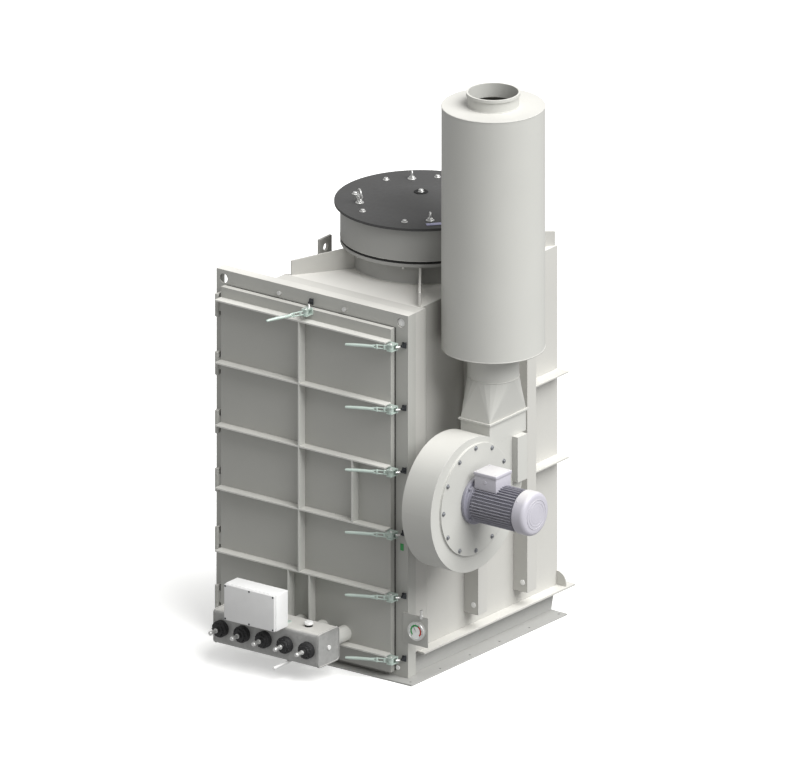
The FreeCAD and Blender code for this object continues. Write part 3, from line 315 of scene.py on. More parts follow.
# what each CAD node is made of
nodeMaterials = {
    "greyPaint": ("ledge", "wall_left", "wall_right", "wall_back", "chamber_shell", "wall_ribs", "wall_bars",
                  "roof_webs", "lifting_lugs"),
    "roofLitPaint": ("roof_plate",),
    "ventShadedPaint": ("vent_neck", "vent_ring"),
    "framePaint": ("frame_left_post", "frame_right_post", "frame_top_beam", "frame_sill", "blanking_plate",
                   "gauge_plate", "frame_hinges"),
    "doorShadedPaint": ("door_panel", "door_hinges"),
    "ribLitPaint": ("door_ribs", "door_uprights", "pulse_pipes"),
    "skirtPaint": ("skirt", "base_flange"),
    "fanPaint": ("fan_spigot", "fan_scroll", "scroll_stiffener", "fan_cover", "fan_collar", "fan_duct",
                 "silencer"),
    "lidPaint": ("vent_lid",),
    "rubber": ("vent_gasket",),
    "zinc": ("clamp_brackets", "clamp_ears", "clamp_lever_1", "clamp_lever_2", "clamp_lever_3",
             "clamp_lever_4", "clamp_lever_5", "clamp_lever_6", "clamp_lever_top", "box_bracket"),
    "boltSteel": ("frame_studs", "vent_bolts", "vent_eyes", "cover_bolts"),
    "labelPlate": ("label_plate",),
    "motorPaint": ("motor", "terminal_box"),
    "galvanised": ("header_tank",),
    "blackPlastic": ("pulse_valves", "gauge"),
    "whitePlastic": ("relief_valve", "tank_fittings"),
    "boxPlastic": ("control_box",),
}
for key, names in nodeMaterials.items():
    for name in names:
        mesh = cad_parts[name].data
        mesh.materials.clear()
        mesh.materials.append(materials[key])


upright = Matrix.Identity(4)
towardsDoor = Matrix.Rotation(math.radians(90), 4, "X")
towardsFan = Matrix.Rotation(math.radians(90), 4, "Y")


def at(x, y, z):
    return Matrix.Translation((x, y, z))


# the points are one array, placed by the matrix, and from_pydata makes the faces
def addFaces(mesh, points, faces, matrix):
    placed = np.asarray(points, float) @ np.array(matrix.to_3x3()).T + np.array(matrix.translation)
    part = bpy.data.meshes.new("part")
    part.from_pydata(placed.tolist(), [], faces)
    mesh.from_mesh(part)
    bpy.data.meshes.remove(part)


# four-cornered faces between each ring of points and the next
def joinRings(low, high):
    quads = np.stack((low, np.roll(low, -1, 1), np.roll(high, -1, 1), high), axis=-1)
    return quads.reshape(-1, 4)


# a lathe: each (radius, height) of the profile goes once round Z, and a radius of nothing is one point
def addLathe(mesh, profile, matrix, segments=40):
    radius, height = np.array(profile, float).T
    angles = np.linspace(0, 2 * math.pi, segments, endpoint=False)
    points = np.stack((np.outer(radius, np.cos(angles)), np.outer(radius, np.sin(angles)),
                       np.outer(height, np.ones(segments))), axis=-1).reshape(-1, 3)
    rings = np.arange(len(points)).reshape(-1, segments)
    poles = radius < 1e-6
    rings[poles] = rings[poles][:, :1]
    used, quads = np.unique(joinRings(rings[:-1], rings[1:]), return_inverse=True)
    corners = [list(dict.fromkeys(quad)) for quad in quads.reshape(-1, 4).tolist()]
    addFaces(mesh, points[used], [face for face in corners if len(face) > 2], matrix)


# a box of the given size with its edges rounded
def addBlock(mesh, size, matrix, bevel=0.001, segments=2):
    made = bmesh.ops.create_cube(mesh, size=1.0, matrix=matrix @ Matrix.Diagonal((*size, 1.0)))
    if bevel:
        edges = list({edge for vert in made["verts"] for edge in vert.link_edges})
        bmesh.ops.bevel(mesh, geom=edges, offset=bevel, segments=segments, affect="EDGES", profile=0.5)


# a circle of points round a centre, all at one height
def circlePath(centre, radius, height, steps):
    turns = np.linspace(0, 2 * math.pi, steps, endpoint=False)
    return np.column_stack((centre[0] + radius * np.cos(turns), centre[1] + radius * np.sin(turns),
                            height + 0 * turns))


# a tube: a circle carried along the path, turned as little as the bends allow
def addTube(mesh, path, radius, sides=12, matrix=upright, closed=False):
    path = np.array(path, float)
    along = np.roll(path, -1, 0) - np.roll(path, 1, 0) if closed else np.gradient(path, axis=0)
    along /= np.linalg.norm(along, axis=1, keepdims=True)
    across = [np.array(Vector(along[0]).orthogonal())]
    for heading in along:
        level = across[-1] - heading * across[-1].dot(heading)
        across.append(level / np.linalg.norm(level))
    across = np.array(across[1:])
    side = np.cross(along, across)
    turns = 2 * math.pi * np.arange(sides)[:, None] / sides
    circle = across[:, None] * np.cos(turns) + side[:, None] * np.sin(turns)
    radii = np.broadcast_to(radius, len(path))[:, None, None]
    points = (path[:, None] + circle * radii).reshape(-1, 3)
    rings = np.arange(len(points)).reshape(-1, sides)
    if closed:
        faces = joinRings(rings, np.roll(rings, -1, 0)).tolist()
    else:
        faces = joinRings(rings[:-1], rings[1:]).tolist() + [rings[0][::-1].tolist(), rings[-1].tolist()]
    addFaces(mesh, points, faces, matrix)


# a hexagon head on a round washer, drawn in a little at its top
def addHexBolt(mesh, radius, height, matrix, washer=1.45):
    addLathe(mesh, ((0, 0), (radius * washer, 0), (radius * washer, height * 0.18),
                    (radius * washer * 0.96, height * 0.22), (0, height * 0.22)), matrix, 24)
    turns = np.radians(60 * np.arange(6))
    grow = radius * np.array((1.0, 1.0, 0.86))
    levels = height * np.array((0.2, 0.86, 1.0))
    points = np.stack((np.outer(grow, np.cos(turns)), np.outer(grow, np.sin(turns)),
                       np.outer(levels, np.ones(6))), axis=-1).reshape(-1, 3)
    rings = np.arange(18).reshape(3, 6)
    addFaces(mesh, points, [rings[2].tolist()] + joinRings(rings[:-1], rings[1:]).tolist(), matrix)


# faces are smooth, and an edge that turns by more than the angle stays sharp
def makePiece(name, mesh, material, body, replaced=(), angle=35):
    bmesh.ops.recalc_face_normals(mesh, faces=mesh.faces)
    for face in mesh.faces:
        face.smooth = True
    for edge in mesh.edges:
        if len(edge.link_faces) == 2 and edge.calc_face_angle(0) > math.radians(angle):
            edge.smooth = False
    data = bpy.data.meshes.new(name)
    mesh.to_mesh(data)
    mesh.free()
    data.materials.append(material)
    piece = bpy.data.objects.new(name, data)
    scene.collection.objects.link(piece)
    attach(piece, body)
    if replaced:
        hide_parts(*replaced)
    return piece


ventSettings = {
    "centre": (0.0, 0.107),
    "top": 2.260,
    "flangeLow": 2.045,
    "eyeCircle": 0.310,
    "boltCircle": 0.340,
    "nutCircle": 0.366,
    "eye": (0.0135, 0.028, 0.0042),
    "liftingEye": (0.024, 0.046, 0.0048),
    "dome": (0.286, 0.042),
}


# a place on a circle round the vent's middle
def aroundVent(settings, circle, degrees, z):
    x, y = settings["centre"]
    angle = math.radians(degrees)
    return at(x + settings[circle] * math.cos(angle), y + settings[circle] * math.sin(angle), z)


# an eye: a circle of wire that stands upright at its height
def addEye(mesh, eye, matrix, steps=28):
    radius, height, wire = eye
    turns = np.linspace(0, 2 * math.pi, steps, endpoint=False)
    ring = np.column_stack((radius * np.cos(turns), 0 * turns, height + radius * np.sin(turns)))
    addTube(mesh, ring, wire, 10, matrix, closed=True)


def makeVentFittings(settings):
    top = settings["top"]
    mesh = bmesh.new()
    for degrees in (45, 135, 225, 315):
        turn = Matrix.Rotation(math.radians(degrees), 4, "Z")
        spot = aroundVent(settings, "eyeCircle", degrees, top) @ turn
        addHexBolt(mesh, 0.015, 0.012, spot)
        addLathe(mesh, ((0.008, 0.010), (0.008, 0.016), (0.006, 0.018), (0, 0.018)), spot, 20)
        addEye(mesh, settings["eye"], spot)
    # the eye on the left is the larger one, for lifting the lid
    spot = aroundVent(settings, "eyeCircle", 225, top) @ Matrix.Rotation(math.radians(-36), 4, "Z")
    addEye(mesh, settings["liftingEye"], spot, 32)
    makePiece("ventEyes", mesh, materials["boltSteel"], "housing", ("vent_eyes",))
    mesh = bmesh.new()
    for number in range(8):
        addHexBolt(mesh, 0.0115, 0.011, aroundVent(settings, "boltCircle", 22.5 + 45 * number, top))
    makePiece("ventBolts", mesh, materials["boltSteel"], "housing", ("vent_bolts",))
    mesh = bmesh.new()
    for number in range(8):
        spot = aroundVent(settings, "nutCircle", 22.5 + 45 * number, settings["flangeLow"])
        spot = spot @ Matrix.Rotation(math.pi, 4, "X")
        addHexBolt(mesh, 0.0100, 0.010, spot)
        addLathe(mesh, ((0.0055, 0.009), (0.0055, 0.024), (0.0045, 0.026), (0, 0.026)), spot, 16)
    makePiece("ventNuts", mesh, materials["boltSteel"], "housing")
    # the lid bulges as a raised cosine, from a flat rim up to its middle
    wide, rise = settings["dome"]
    steps = np.linspace(0.97, 0.0, 30)
    rim = ((0, top - 0.002), (wide, top - 0.002), (wide, top))
    bulge = np.column_stack((wide * steps, top + rise * (0.5 + 0.5 * np.cos(math.pi * steps))))
    x, y = settings["centre"]
    mesh = bmesh.new()
    addLathe(mesh, np.concatenate((rim, bulge)), at(x, y, 0), 96)
    makePiece("ventDome", mesh, materials["lidPaint"], "housing")
    crown = at(x, y, top + rise)
    mesh = bmesh.new()
    addLathe(mesh, ((0, -0.003), (0.016, -0.003), (0.016, 0.002), (0.013, 0.0035), (0.013, 0.010),
                    (0.010, 0.013), (0, 0.014)), crown, 28)
    makePiece("domeBolt", mesh, materials["boltSteel"], "housing")
    # a black rubber washer round the crown's bolt, which also stands in as the painted shadow under it
    mesh = bmesh.new()
    addLathe(mesh, ((0.016, -0.004), (0.036, -0.005), (0.036, 0.0008), (0.033, 0.0022), (0.018, 0.0022),
                    (0.016, 0.0010), (0.016, -0.004)), crown, 40)
    makePiece("domeWasherAndShadow", mesh, materials["rubber"], "housing")


fanSettings = {"axis": (-0.480, 1.003), "coverFace": 0.776, "boltCircle": 0.2715,
               "seam": (0.7665, 0.2905)}


# twelve bolts on a circle round the fan's cover, and the weld round its rim
def makeFanFittings(settings):
    y, z = settings["axis"]
    mesh = bmesh.new()
    for number in range(12):
        angle = math.radians(30 * number)
        spot = at(settings["coverFace"], y + settings["boltCircle"] * math.cos(angle),
                  z + settings["boltCircle"] * math.sin(angle)) @ towardsFan
        addHexBolt(mesh, 0.0085, 0.008, spot)
    makePiece("coverBolts", mesh, materials["coverBolt"], "housing", ("cover_bolts",))
    mesh = bmesh.new()
    x, radius = settings["seam"]
    turns = np.linspace(0, 2 * math.pi, 96, endpoint=False)
    loop = np.column_stack((x + 0 * turns, y + radius * np.cos(turns), z + radius * np.sin(turns)))
    addTube(mesh, loop, 0.0022, 8, closed=True)
    makePiece("coverSeam", mesh, materials["fanPaint"], "housing")


motorSettings = {"start": 0.776, "y": -0.480, "z": 1.003, "fins": 40}


# a motor: its body and cowl are lathes, its fins blocks set round the axis
def makeMotor(settings):
    y, z = settings["y"], settings["z"]
    spot = at(settings["start"], y, z) @ towardsFan
    mesh = bmesh.new()
    addLathe(mesh, ((0, 0), (0.123, 0), (0.125, 0.002), (0.125, 0.016), (0.121, 0.020), (0.108, 0.022),
                    (0.104, 0.026), (0.104, 0.036), (0.096, 0.040), (0.096, 0.296), (0.106, 0.298),
                    (0.106, 0.312), (0, 0.312)), spot, 72)
    for number in range(settings["fins"]):
        angle = 2 * math.pi * (number + 0.5) / settings["fins"]
        fin = spot @ Matrix.Rotation(angle, 4, "Z") @ at(0.1015, 0, 0.168)
        addBlock(mesh, (0.015, 0.0035, 0.250), fin, 0.0008, 1)
    for angle in (45, 135, 225, 315):
        turn = spot @ Matrix.Rotation(math.radians(angle), 4, "Z")
        addHexBolt(mesh, 0.008, 0.009, turn @ at(0.114, 0, 0.020))
    makePiece("motorBody", mesh, materials["motorPaint"], "housing", ("motor",))
    mesh = bmesh.new()
    turns = np.linspace(0, math.pi / 2, 9)
    corner = np.column_stack((0.090 + 0.024 * np.cos(turns), 0.352 + 0.024 * np.sin(turns)))
    cowl = np.concatenate((((0.109, 0.304), (0.114, 0.306)), corner, ((0.045, 0.3785), (0.0, 0.3795))))
    addLathe(mesh, cowl, spot, 72)
    for angle in range(0, 360, 90):
        turn = spot @ Matrix.Rotation(math.radians(angle + 45), 4, "Z") @ at(0.1135, 0, 0.318)
        addLathe(mesh, ((0.0, 0.0025), (0.004, 0.002), (0.005, 0.0), (0.0, -0.001)),
                 turn @ Matrix.Rotation(math.radians(90), 4, "Y"), 16)
    makePiece("motorCowl", mesh, materials["cowlPaint"], "housing")
    mesh = bmesh.new()
    for radius in (0.028, 0.044, 0.060, 0.076):
        loop = circlePath((0, 0), radius, 0.3778 - 0.012 * radius, 48)
        addTube(mesh, loop, 0.0018, 6, spot, closed=True)
    makePiece("cowlGrille", mesh, materials["cowlPaint"], "housing")
    mesh = bmesh.new()
    addBlock(mesh, (0.136, 0.126, 0.078), at(0.8815, y, z + 0.122), 0.004, 3)
    addBlock(mesh, (0.143, 0.134, 0.018), at(0.8815, y, z + 0.1665), 0.004, 3)
    for x in (-0.058, 0.058):
        for side in (-0.054, 0.054):
            addHexBolt(mesh, 0.0035, 0.003, at(0.8815 + x, y + side, z + 0.1745), 1.3)
    addLathe(mesh, ((0, 0), (0.014, 0), (0.014, 0.010), (0.011, 0.012), (0.011, 0.022), (0.007, 0.026),
                    (0, 0.026)),
             at(0.8815, y - 0.040, z + 0.130) @ towardsDoor, 24)
    makePiece("terminalCase", mesh, materials["cowlPaint"], "housing", ("terminal_box",))


leverSettings = {
    "pivotY": -0.658,
    "reach": 0.215,
    "flare": 0.095,
    "edge": 0.380,
    "low": 0.111,
    "pitch": 0.333,
    "top": (-0.150, 1.850, 45),
}


# a toggle lever: a hub, two bent rods and a grip that leans outwards as it runs
def makeLever(name, body, node, x, z, swing, settings):
    mesh = bmesh.new()
    place = at(x, settings["pivotY"], z) @ Matrix.Rotation(math.radians(swing), 4, "Z")
    addLathe(mesh, ((0.0055, -0.012), (0.013, -0.012), (0.014, -0.011), (0.014, 0.011), (0.013, 0.012),
                    (0.0055, 0.012), (0.0055, -0.012)), place, 28)
    slope = settings["flare"] / settings["reach"]
    for side in (-1, 1):
        path = [(-run, -run * slope, side * high) for run, high in
                ((0.004, 0.0090), (0.030, 0.0088), (0.060, 0.0080), (0.085, 0.0055), (0.100, 0.0030))]
        addTube(mesh, path, [0.0030, 0.0036, 0.0040, 0.0044, 0.0040], 10, place)
    grip = [(-run, -run * slope * bend, 0) for run, bend in
            ((0.078, 1.02), (0.095, 1.01), (0.120, 0.99), (0.150, 0.98), (0.180, 1.0), (0.200, 1.02),
             (0.212, 1.03), (0.2145, 1.03))]
    addTube(mesh, grip, [0.0055, 0.0082, 0.0088, 0.0086, 0.0082, 0.0076, 0.0060, 0.0026], 14, place)
    for run in (0.030, 0.066):
        addLathe(mesh, ((0, -0.0118), (0.006, -0.0118), (0.0066, -0.010), (0.0066, 0.010), (0.006, 0.0118),
                        (0, 0.0118)), place @ at(-run, -run * slope, 0), 16)
    makePiece(name, mesh, materials["zinc"], body, (node,))


# six levers up the free edge and one at the top, with hooks on the door and keepers
# on the frame
def makeClamps(settings):
    spots = [("%d" % (level + 1), settings["edge"], settings["low"] + settings["pitch"] * level, 0)
             for level in range(6)]
    spots.append(("top", *settings["top"]))
    hooks = bmesh.new()
    keepers = bmesh.new()
    for tag, x, z, swing in spots:
        makeLever("lever" + tag.capitalize(), "clamp_" + tag, "clamp_lever_" + tag, x, z, swing, settings)
        for side in (-1, 1):
            addHexBolt(hooks, 0.0055, 0.005, at(x, settings["pivotY"], z + side * 0.0183)
                       @ Matrix.Rotation(0 if side > 0 else math.pi, 4, "X"), 1.4)
        if tag == "top":
            path = [(x + 0.004, -0.641, z + 0.012), (x + 0.002, -0.632, z + 0.020),
                    (x - 0.008, -0.622, z + 0.030)]
            keeper = (x - 0.015, z + 0.034)
        else:
            for run in (-0.048, -0.028):
                addHexBolt(hooks, 0.006, 0.006, at(x + run, -0.632, z) @ towardsDoor)
            path = [(x + 0.017, -0.642, z), (x + 0.024, -0.632, z), (x + 0.031, -0.624, z)]
            keeper = (x + 0.033, z)
        addTube(hooks, path, [0.0055, 0.0065, 0.0055], 12)
        addBlock(keepers, (0.024, 0.008, 0.030), at(keeper[0], -0.591, keeper[1]), 0.002, 2)
        addLathe(keepers, ((0, 0), (0.0095, 0), (0.0095, 0.007), (0.0060, 0.009), (0.0060, 0.018),
                           (0, 0.018)),
                 at(keeper[0], -0.595, keeper[1]) @ towardsDoor, 18)
        addTube(keepers, [(keeper[0] + 0.004, -0.603, keeper[1] + 0.004),
                          (keeper[0] + 0.014, -0.603, keeper[1] + 0.012),
                          (keeper[0] + 0.019, -0.600, keeper[1] + 0.022)], [0.0040, 0.0036, 0.0028], 10)
    makePiece("clampHooks", hooks, materials["boltSteel"], "door")
    makePiece("clampKeepers", keepers, materials["darkSteel"], "housing")


sealAndGapShadowSettings = {"left": -0.690, "right": 0.354, "low": 0.036, "top": 1.858, "face": -0.5901,
                "width": 0.020, "thickness": 0.0034}


# the rubber strip beside the door's free edge and above it, which also stands in as the painted shadow in
# the gap there
def makeDoorSealAndGapShadow(settings):
    mesh = bmesh.new()
    tall = settings["top"] - settings["low"]
    wide = settings["right"] - settings["left"]
    width, thickness, face = settings["width"], settings["thickness"], settings["face"]
    addBlock(mesh, (width, thickness, tall),
             at(settings["right"] - 0.006, face, settings["low"] + tall / 2), 0.0008, 1)
    addBlock(mesh, (wide, thickness, width),
             at(settings["left"] + wide / 2, face, settings["top"] - 0.009), 0.0008, 1)
    makePiece("doorSealAndGapShadow", mesh, materials["rubber"], "door")


plugSettings = {
    "ribX": 0.467,
    "ribZ": 0.259,
    "ribFaces": (-0.082, 0.330),
    "liftHole": (0.389, -0.5755, 1.889, 0.0225),
    "sillHole": (0.3715, -0.5868, 0.053, 0.0120),
}


# plastic plugs in the wall ribs, in the right lifting eye and in the sill
def makePlugs(settings):
    mesh = bmesh.new()
    for side in (-1, 1):
        for face in settings["ribFaces"]:
            spot = at(side * settings["ribX"], face + 0.003, settings["ribZ"]) @ towardsDoor
            addLathe(mesh, ((0, 0), (0.0120, 0), (0.0120, 0.0028), (0.0148, 0.0031), (0.0140, 0.0050),
                            (0.0060, 0.0062), (0, 0.0064)), spot, 28)
    for x, y, z, radius in (settings["liftHole"], settings["sillHole"]):
        profile = ((0, 0), (radius, 0), (radius, 0.0030), (radius * 0.9, 0.0050), (0, 0.0056))
        addLathe(mesh, profile, at(x, y, z) @ towardsDoor, 36)
    makePiece("holePlugs", mesh, materials["whitePlastic"], "housing")


valveSettings = {"first": 0.070, "pitch": 0.134, "z": 0.184, "face": -0.935}


# five diaphragm valves: a lathe with eight screws and eight ribs, and a pilot in front
def makeValves(settings):
    bodies = bmesh.new()
    pilots = bmesh.new()
    for number in range(5):
        x = settings["first"] - settings["pitch"] * number
        spot = at(x, settings["face"], settings["z"]) @ towardsDoor
        addLathe(bodies, ((0, 0), (0.041, 0), (0.043, 0.002), (0.043, 0.011), (0.040, 0.013), (0.040, 0.017),
                          (0.043, 0.019), (0.043, 0.027), (0.040, 0.030), (0.031, 0.034), (0.029, 0.040),
                          (0.018, 0.042), (0.017, 0.050), (0, 0.050)), spot, 48)
        for corner in range(8):
            turn = spot @ Matrix.Rotation(math.radians(45 * corner + 22.5), 4, "Z")
            addHexBolt(bodies, 0.0040, 0.006, turn @ at(0.0365, 0, 0.029), 1.2)
        for rib in range(8):
            turn = spot @ Matrix.Rotation(math.radians(45 * rib), 4, "Z") @ at(0.027, 0, 0.036)
            addBlock(bodies, (0.020, 0.0035, 0.008), turn, 0.0008, 1)
        addLathe(pilots, ((0, 0.048), (0.012, 0.048), (0.012, 0.056), (0.0095, 0.058), (0.0095, 0.090),
                          (0.0115, 0.092), (0.0115, 0.100), (0.009, 0.104), (0, 0.1045)), spot, 28)
    makePiece("valveBodies", bodies, materials["blackPlastic"], "door", ("pulse_valves",))
    makePiece("valvePilots", pilots, materials["boltSteel"], "door")


boxSettings = {"x": (-0.371, -0.053), "y": (-1.052, -0.935), "z": (0.280, 0.475)}


# an enclosure with three cable glands below it, a lid and six screws
def makeControlBox(settings):
    (x0, x1), (y0, y1), (z0, z1) = settings["x"], settings["y"], settings["z"]
    middle = ((x0 + x1) / 2, (y0 + y1) / 2, (z0 + z1) / 2)
    mesh = bmesh.new()
    addBlock(mesh, (x1 - x0, 0.100, z1 - z0), at(middle[0], y1 - 0.050, middle[2]), 0.006, 4)
    for x in (-0.10, 0.0, 0.10):
        addLathe(mesh, ((0, 0), (0.013, 0), (0.013, 0.008), (0.010, 0.010), (0.010, 0.020), (0.006, 0.024),
                        (0, 0.024)),
                 at(middle[0] + x, -0.985, z0) @ Matrix.Rotation(math.pi, 4, "X"), 20)
    makePiece("controlCase", mesh, materials["boxPlastic"], "door", ("control_box",))
    mesh = bmesh.new()
    lid = (x1 - x0 - 0.004, 0.015, z1 - z0 - 0.004)
    addBlock(mesh, lid, at(middle[0], y0 + 0.0085, middle[2]), 0.005, 4)
    makePiece("controlLid", mesh, materials["lidPlastic"], "door")
    mesh = bmesh.new()
    for x in (x0 + 0.011, middle[0], x1 - 0.011):
        for z in (z0 + 0.011, z1 - 0.011):
            addLathe(mesh, ((0, 0), (0.0052, 0), (0.0052, 0.0014), (0.0044, 0.0018), (0, 0.0018)),
                     at(x, y0 + 0.0019, z) @ towardsDoor, 20)
    makePiece("controlScrews", mesh, materials["darkSteel"], "door")


tankSettings = {"x": (-0.521, 0.135), "y": (-0.935, -0.760), "z": (0.095, 0.273),
                "relief": (0.012, -0.852), "bend": 0.018}


# the relief valve on its rubber base, and the welds near the tank's ends
def makeTankFittings(settings):
    (x0, x1), (y0, y1), (z0, z1) = settings["x"], settings["y"], settings["z"]
    relief = at(*settings["relief"], z1)
    mesh = bmesh.new()
    addLathe(mesh, ((0, 0.010), (0.021, 0.010), (0.023, 0.012), (0.023, 0.020), (0.021, 0.0235),
                    (0.010, 0.024), (0, 0.024)), relief, 36)
    makePiece("reliefValve", mesh, materials["whitePlastic"], "door", ("relief_valve",))
    mesh = bmesh.new()
    addLathe(mesh, ((0, 0), (0.020, 0), (0.020, 0.006), (0.018, 0.0105), (0, 0.0105)), relief, 36)
    makePiece("reliefBase", mesh, materials["rubber"], "door")
    # a weld goes round the tank's section: four corners, each a quarter circle of five points
    bend = settings["bend"]
    low, high, near, far = z0 - 0.0008, z1 + 0.0008, y0 - 0.0008, y1 + 0.0008
    corners = np.array(((far - bend, high - bend), (near + bend, high - bend),
                        (near + bend, low + bend), (far - bend, low + bend)))
    turns = np.radians(90 * np.arange(4)[:, None] + 22.5 * np.arange(5))
    ys = (corners[:, :1] + bend * np.cos(turns)).ravel()
    zs = (corners[:, 1:] + bend * np.sin(turns)).ravel()
    mesh = bmesh.new()
    for x in (x0 + 0.010, x1 - 0.010):
        addTube(mesh, np.column_stack((x + 0 * ys, ys, zs)), 0.0016, 6, closed=True)
    makePiece("tankWelds", mesh, materials["galvanised"], "door")


gaugeSettings = {"x": 0.500, "z": 0.280, "face": -0.591, "nipple": (0.518, -0.589, 0.356)}


# a dial gauge: a lathed case, a needle, eleven marks and two bands between two radii
def makeGauge(settings):
    spot = at(settings["x"], settings["face"], settings["z"]) @ towardsDoor
    nipple = at(*settings["nipple"])
    mesh = bmesh.new()
    addLathe(mesh, ((0, 0), (0.047, 0), (0.047, 0.010), (0.050, 0.012), (0.050, 0.023), (0.0485, 0.025),
                    (0.0445, 0.025), (0.043, 0.022), (0.043, 0.019), (0, 0.019)), spot, 56)
    addLathe(mesh, ((0, 0.019), (0.004, 0.019), (0.004, 0.0225), (0, 0.0230)), spot, 20)
    addLathe(mesh, ((0.006, -0.012), (0.009, -0.012), (0.009, 0.006), (0.006, 0.008), (0.006, 0.020),
                    (0.008, 0.022), (0.008, 0.032), (0.005, 0.034), (0, 0.034)), nipple, 24)
    makePiece("gaugeCase", mesh, materials["boltSteel"], "housing", ("gauge",))
    mesh = bmesh.new()
    needle = spot @ Matrix.Rotation(math.radians(120), 4, "Z")
    addBlock(mesh, (0.034, 0.0022, 0.0010), needle @ at(0.014, 0, 0.0218), 0.0003, 1)
    for number in range(11):
        turn = spot @ Matrix.Rotation(math.radians(225 - 27 * number), 4, "Z")
        addBlock(mesh, (0.006 if number % 5 else 0.009, 0.0011, 0.0006), turn @ at(0.0365, 0, 0.0205), 0)
    makePiece("gaugeNeedle", mesh, materials["blackPlastic"], "housing")
    mesh = bmesh.new()
    addLathe(mesh, ((0, 0.0192), (0.0426, 0.0192), (0.0426, 0.0199), (0, 0.0199)), spot, 56)
    makePiece("gaugeDial", mesh, materials["dialWhite"], "housing")
    for name, colour, low, high in (("gaugeGreenBand", "dialGreen", 225, 60),
                                    ("gaugeRedBand", "dialRed", 60, -45)):
        mesh = bmesh.new()
        # four arcs bound a band: inner and outer below, then inner and outer above
        turns = np.radians(np.linspace(low, high, 24))
        radii = np.array((0.025, 0.034, 0.025, 0.034))
        levels = np.array((0.0199, 0.0199, 0.0203, 0.0203))
        points = np.stack((np.outer(radii, np.cos(turns)), np.outer(radii, np.sin(turns)),
                           np.outer(levels, np.ones(24))), axis=-1).reshape(-1, 3)
        a, b, c, d = np.arange(96).reshape(4, 24)[:, :-1]
        faces = np.stack((c, c + 1, d + 1, d, a, b, b + 1, a + 1, a, a + 1, c + 1, c, b, d, d + 1, b + 1),
                         axis=-1).reshape(-1, 4)
        addFaces(mesh, points, faces.tolist(), spot)
        makePiece(name, mesh, materials[colour], "housing")


seamSettings = {
    "silencer": (0.676, -0.198),
    "radius": 0.260,
    "neckRadius": 0.130,
    "low": 1.712,
    "top": 2.997,
    "ductTop": 1.561,
    "vent": (0.0, 0.107),
    "ventNeck": (0.351, (1.936, 2.042)),
    "ventRing": (0.4052, 2.0757),
}


# a weld or fold that runs once round its centre at one height
def addSeam(mesh, centre, radius, z, wire, steps=120):
    addTube(mesh, circlePath(centre, radius, z, steps), wire, 8, closed=True)


# welds round the silencer and the vent, and the silencer's long seam
def makeSeams(settings):
    x, y = settings["silencer"]
    low, top, radius = settings["low"], settings["top"], settings["radius"]
    mesh = bmesh.new()
    for z in (low + 0.004, top - 0.003):
        addSeam(mesh, (x, y), radius - 0.0005, z, 0.0022)
    for z in (top + 0.001, low - 0.001, settings["ductTop"]):
        addSeam(mesh, (x, y), settings["neckRadius"], z, 0.0030)
    seam = math.radians(150)
    heights = np.linspace(low + 0.006, top - 0.006, 12)
    line = np.column_stack((x + radius * math.cos(seam) + 0 * heights,
                            y + radius * math.sin(seam) + 0 * heights, heights))
    addTube(mesh, line, 0.0016, 6)
    makePiece("silencerSeams", mesh, materials["fanPaint"], "housing")
    mesh = bmesh.new()
    radius, levels = settings["ventNeck"]
    for z in levels:
        addSeam(mesh, settings["vent"], radius, z, 0.0028)
    radius, z = settings["ventRing"]
    addSeam(mesh, settings["vent"], radius, z, 0.0012)
    makePiece("ventSeams", mesh, materials["greyPaint"], "housing")


tagSettings = {"place": (0.397, -0.588, 0.699), "size": (0.020, 0.002, 0.036)}


# a plain tag with nothing on it
def makeTag(settings):
    mesh = bmesh.new()
    addBlock(mesh, settings["size"], at(*settings["place"]), 0.0005, 2)
    makePiece("serviceTag", mesh, materials["tagGreen"], "housing")


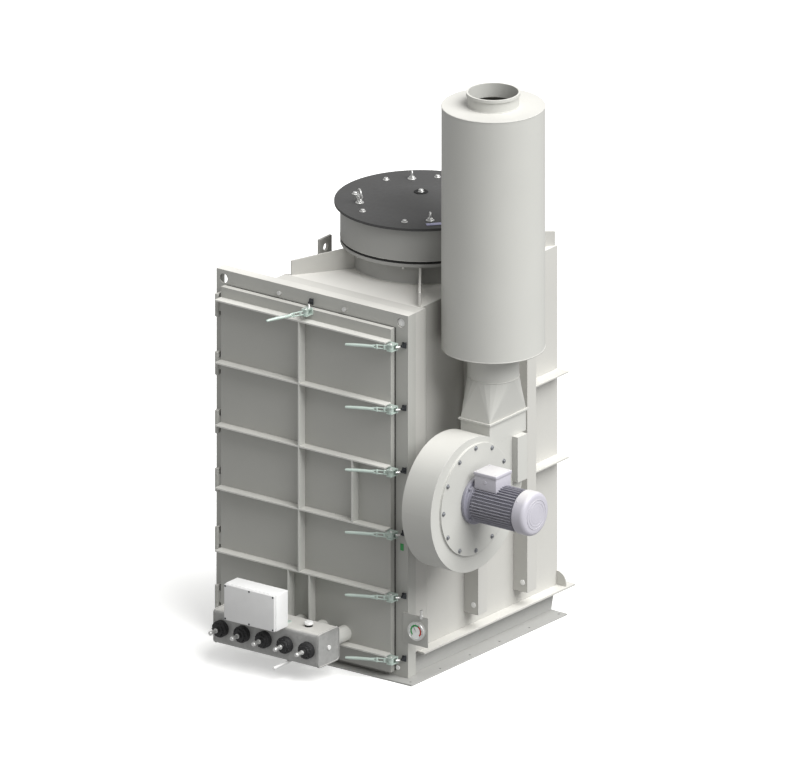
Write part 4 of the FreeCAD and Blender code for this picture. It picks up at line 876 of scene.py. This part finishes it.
# a pale floor under an even white surround
def makeStage(settings):
    mesh = bpy.data.meshes.new("studioFloor")
    size = 40.0
    corners = [(-size, -size, 0), (size, -size, 0), (size, size, 0), (-size, size, 0)]
    mesh.from_pydata(corners, [], [(0, 1, 2, 3)])
    floor = bpy.data.objects.new("studioFloor", mesh)
    scene.collection.objects.link(floor)
    material, tree, shader, coordinates = startMaterial("paleFloor")
    base = linear(settings["floor"])
    colour = mixColour(tree, noise(tree, coordinates, 2.0), shade(base, 0.985), base)
    tree.links.new(colour, shader.inputs["Base Color"])
    shader.inputs["Roughness"].default_value = 0.9
    # only the camera sees the glow, so it adds no light to the object
    rays = addNode(tree, "ShaderNodeLightPath")
    shader.inputs["Emission Color"].default_value = linear("#ffffff")
    tree.links.new(multiply(tree, rays.outputs["Is Camera Ray"], settings["glow"]),
                   shader.inputs["Emission Strength"])
    mesh.materials.append(material)
    floor.visible_diffuse = False
    floor.visible_glossy = False
    world = bpy.data.worlds.new("studio")
    scene.world = world
    world.use_nodes = True
    tree = world.node_tree
    tree.nodes.clear()
    output = addNode(tree, "ShaderNodeOutputWorld")
    seen = addNode(tree, "ShaderNodeBackground", {"Color": (1, 1, 1, 1), "Strength": 1.0})
    lit = addNode(tree, "ShaderNodeBackground", {"Color": (1, 1, 1, 1), "Strength": settings["ambient"]})
    path = addNode(tree, "ShaderNodeLightPath")
    mix = addNode(tree, "ShaderNodeMixShader")
    tree.links.new(path.outputs["Is Camera Ray"], mix.inputs[0])
    tree.links.new(lit.outputs[0], mix.inputs[1])
    tree.links.new(seen.outputs[0], mix.inputs[2])
    tree.links.new(mix.outputs[0], output.inputs[0])
    makeSun("keySun", settings["key"])
    scene.view_settings.view_transform = "Standard"


makeCamera(cameraSettings)
makeStage(lightSettings)
print("stage: camera and light set")
makeVentFittings(ventSettings)
makeFanFittings(fanSettings)
makeMotor(motorSettings)
makeClamps(leverSettings)
makeDoorSealAndGapShadow(sealAndGapShadowSettings)
makePlugs(plugSettings)
makeValves(valveSettings)
makeControlBox(boxSettings)
makeTankFittings(tankSettings)
makeGauge(gaugeSettings)
makeSeams(seamSettings)
makeTag(tagSettings)
print("stage: pieces made")
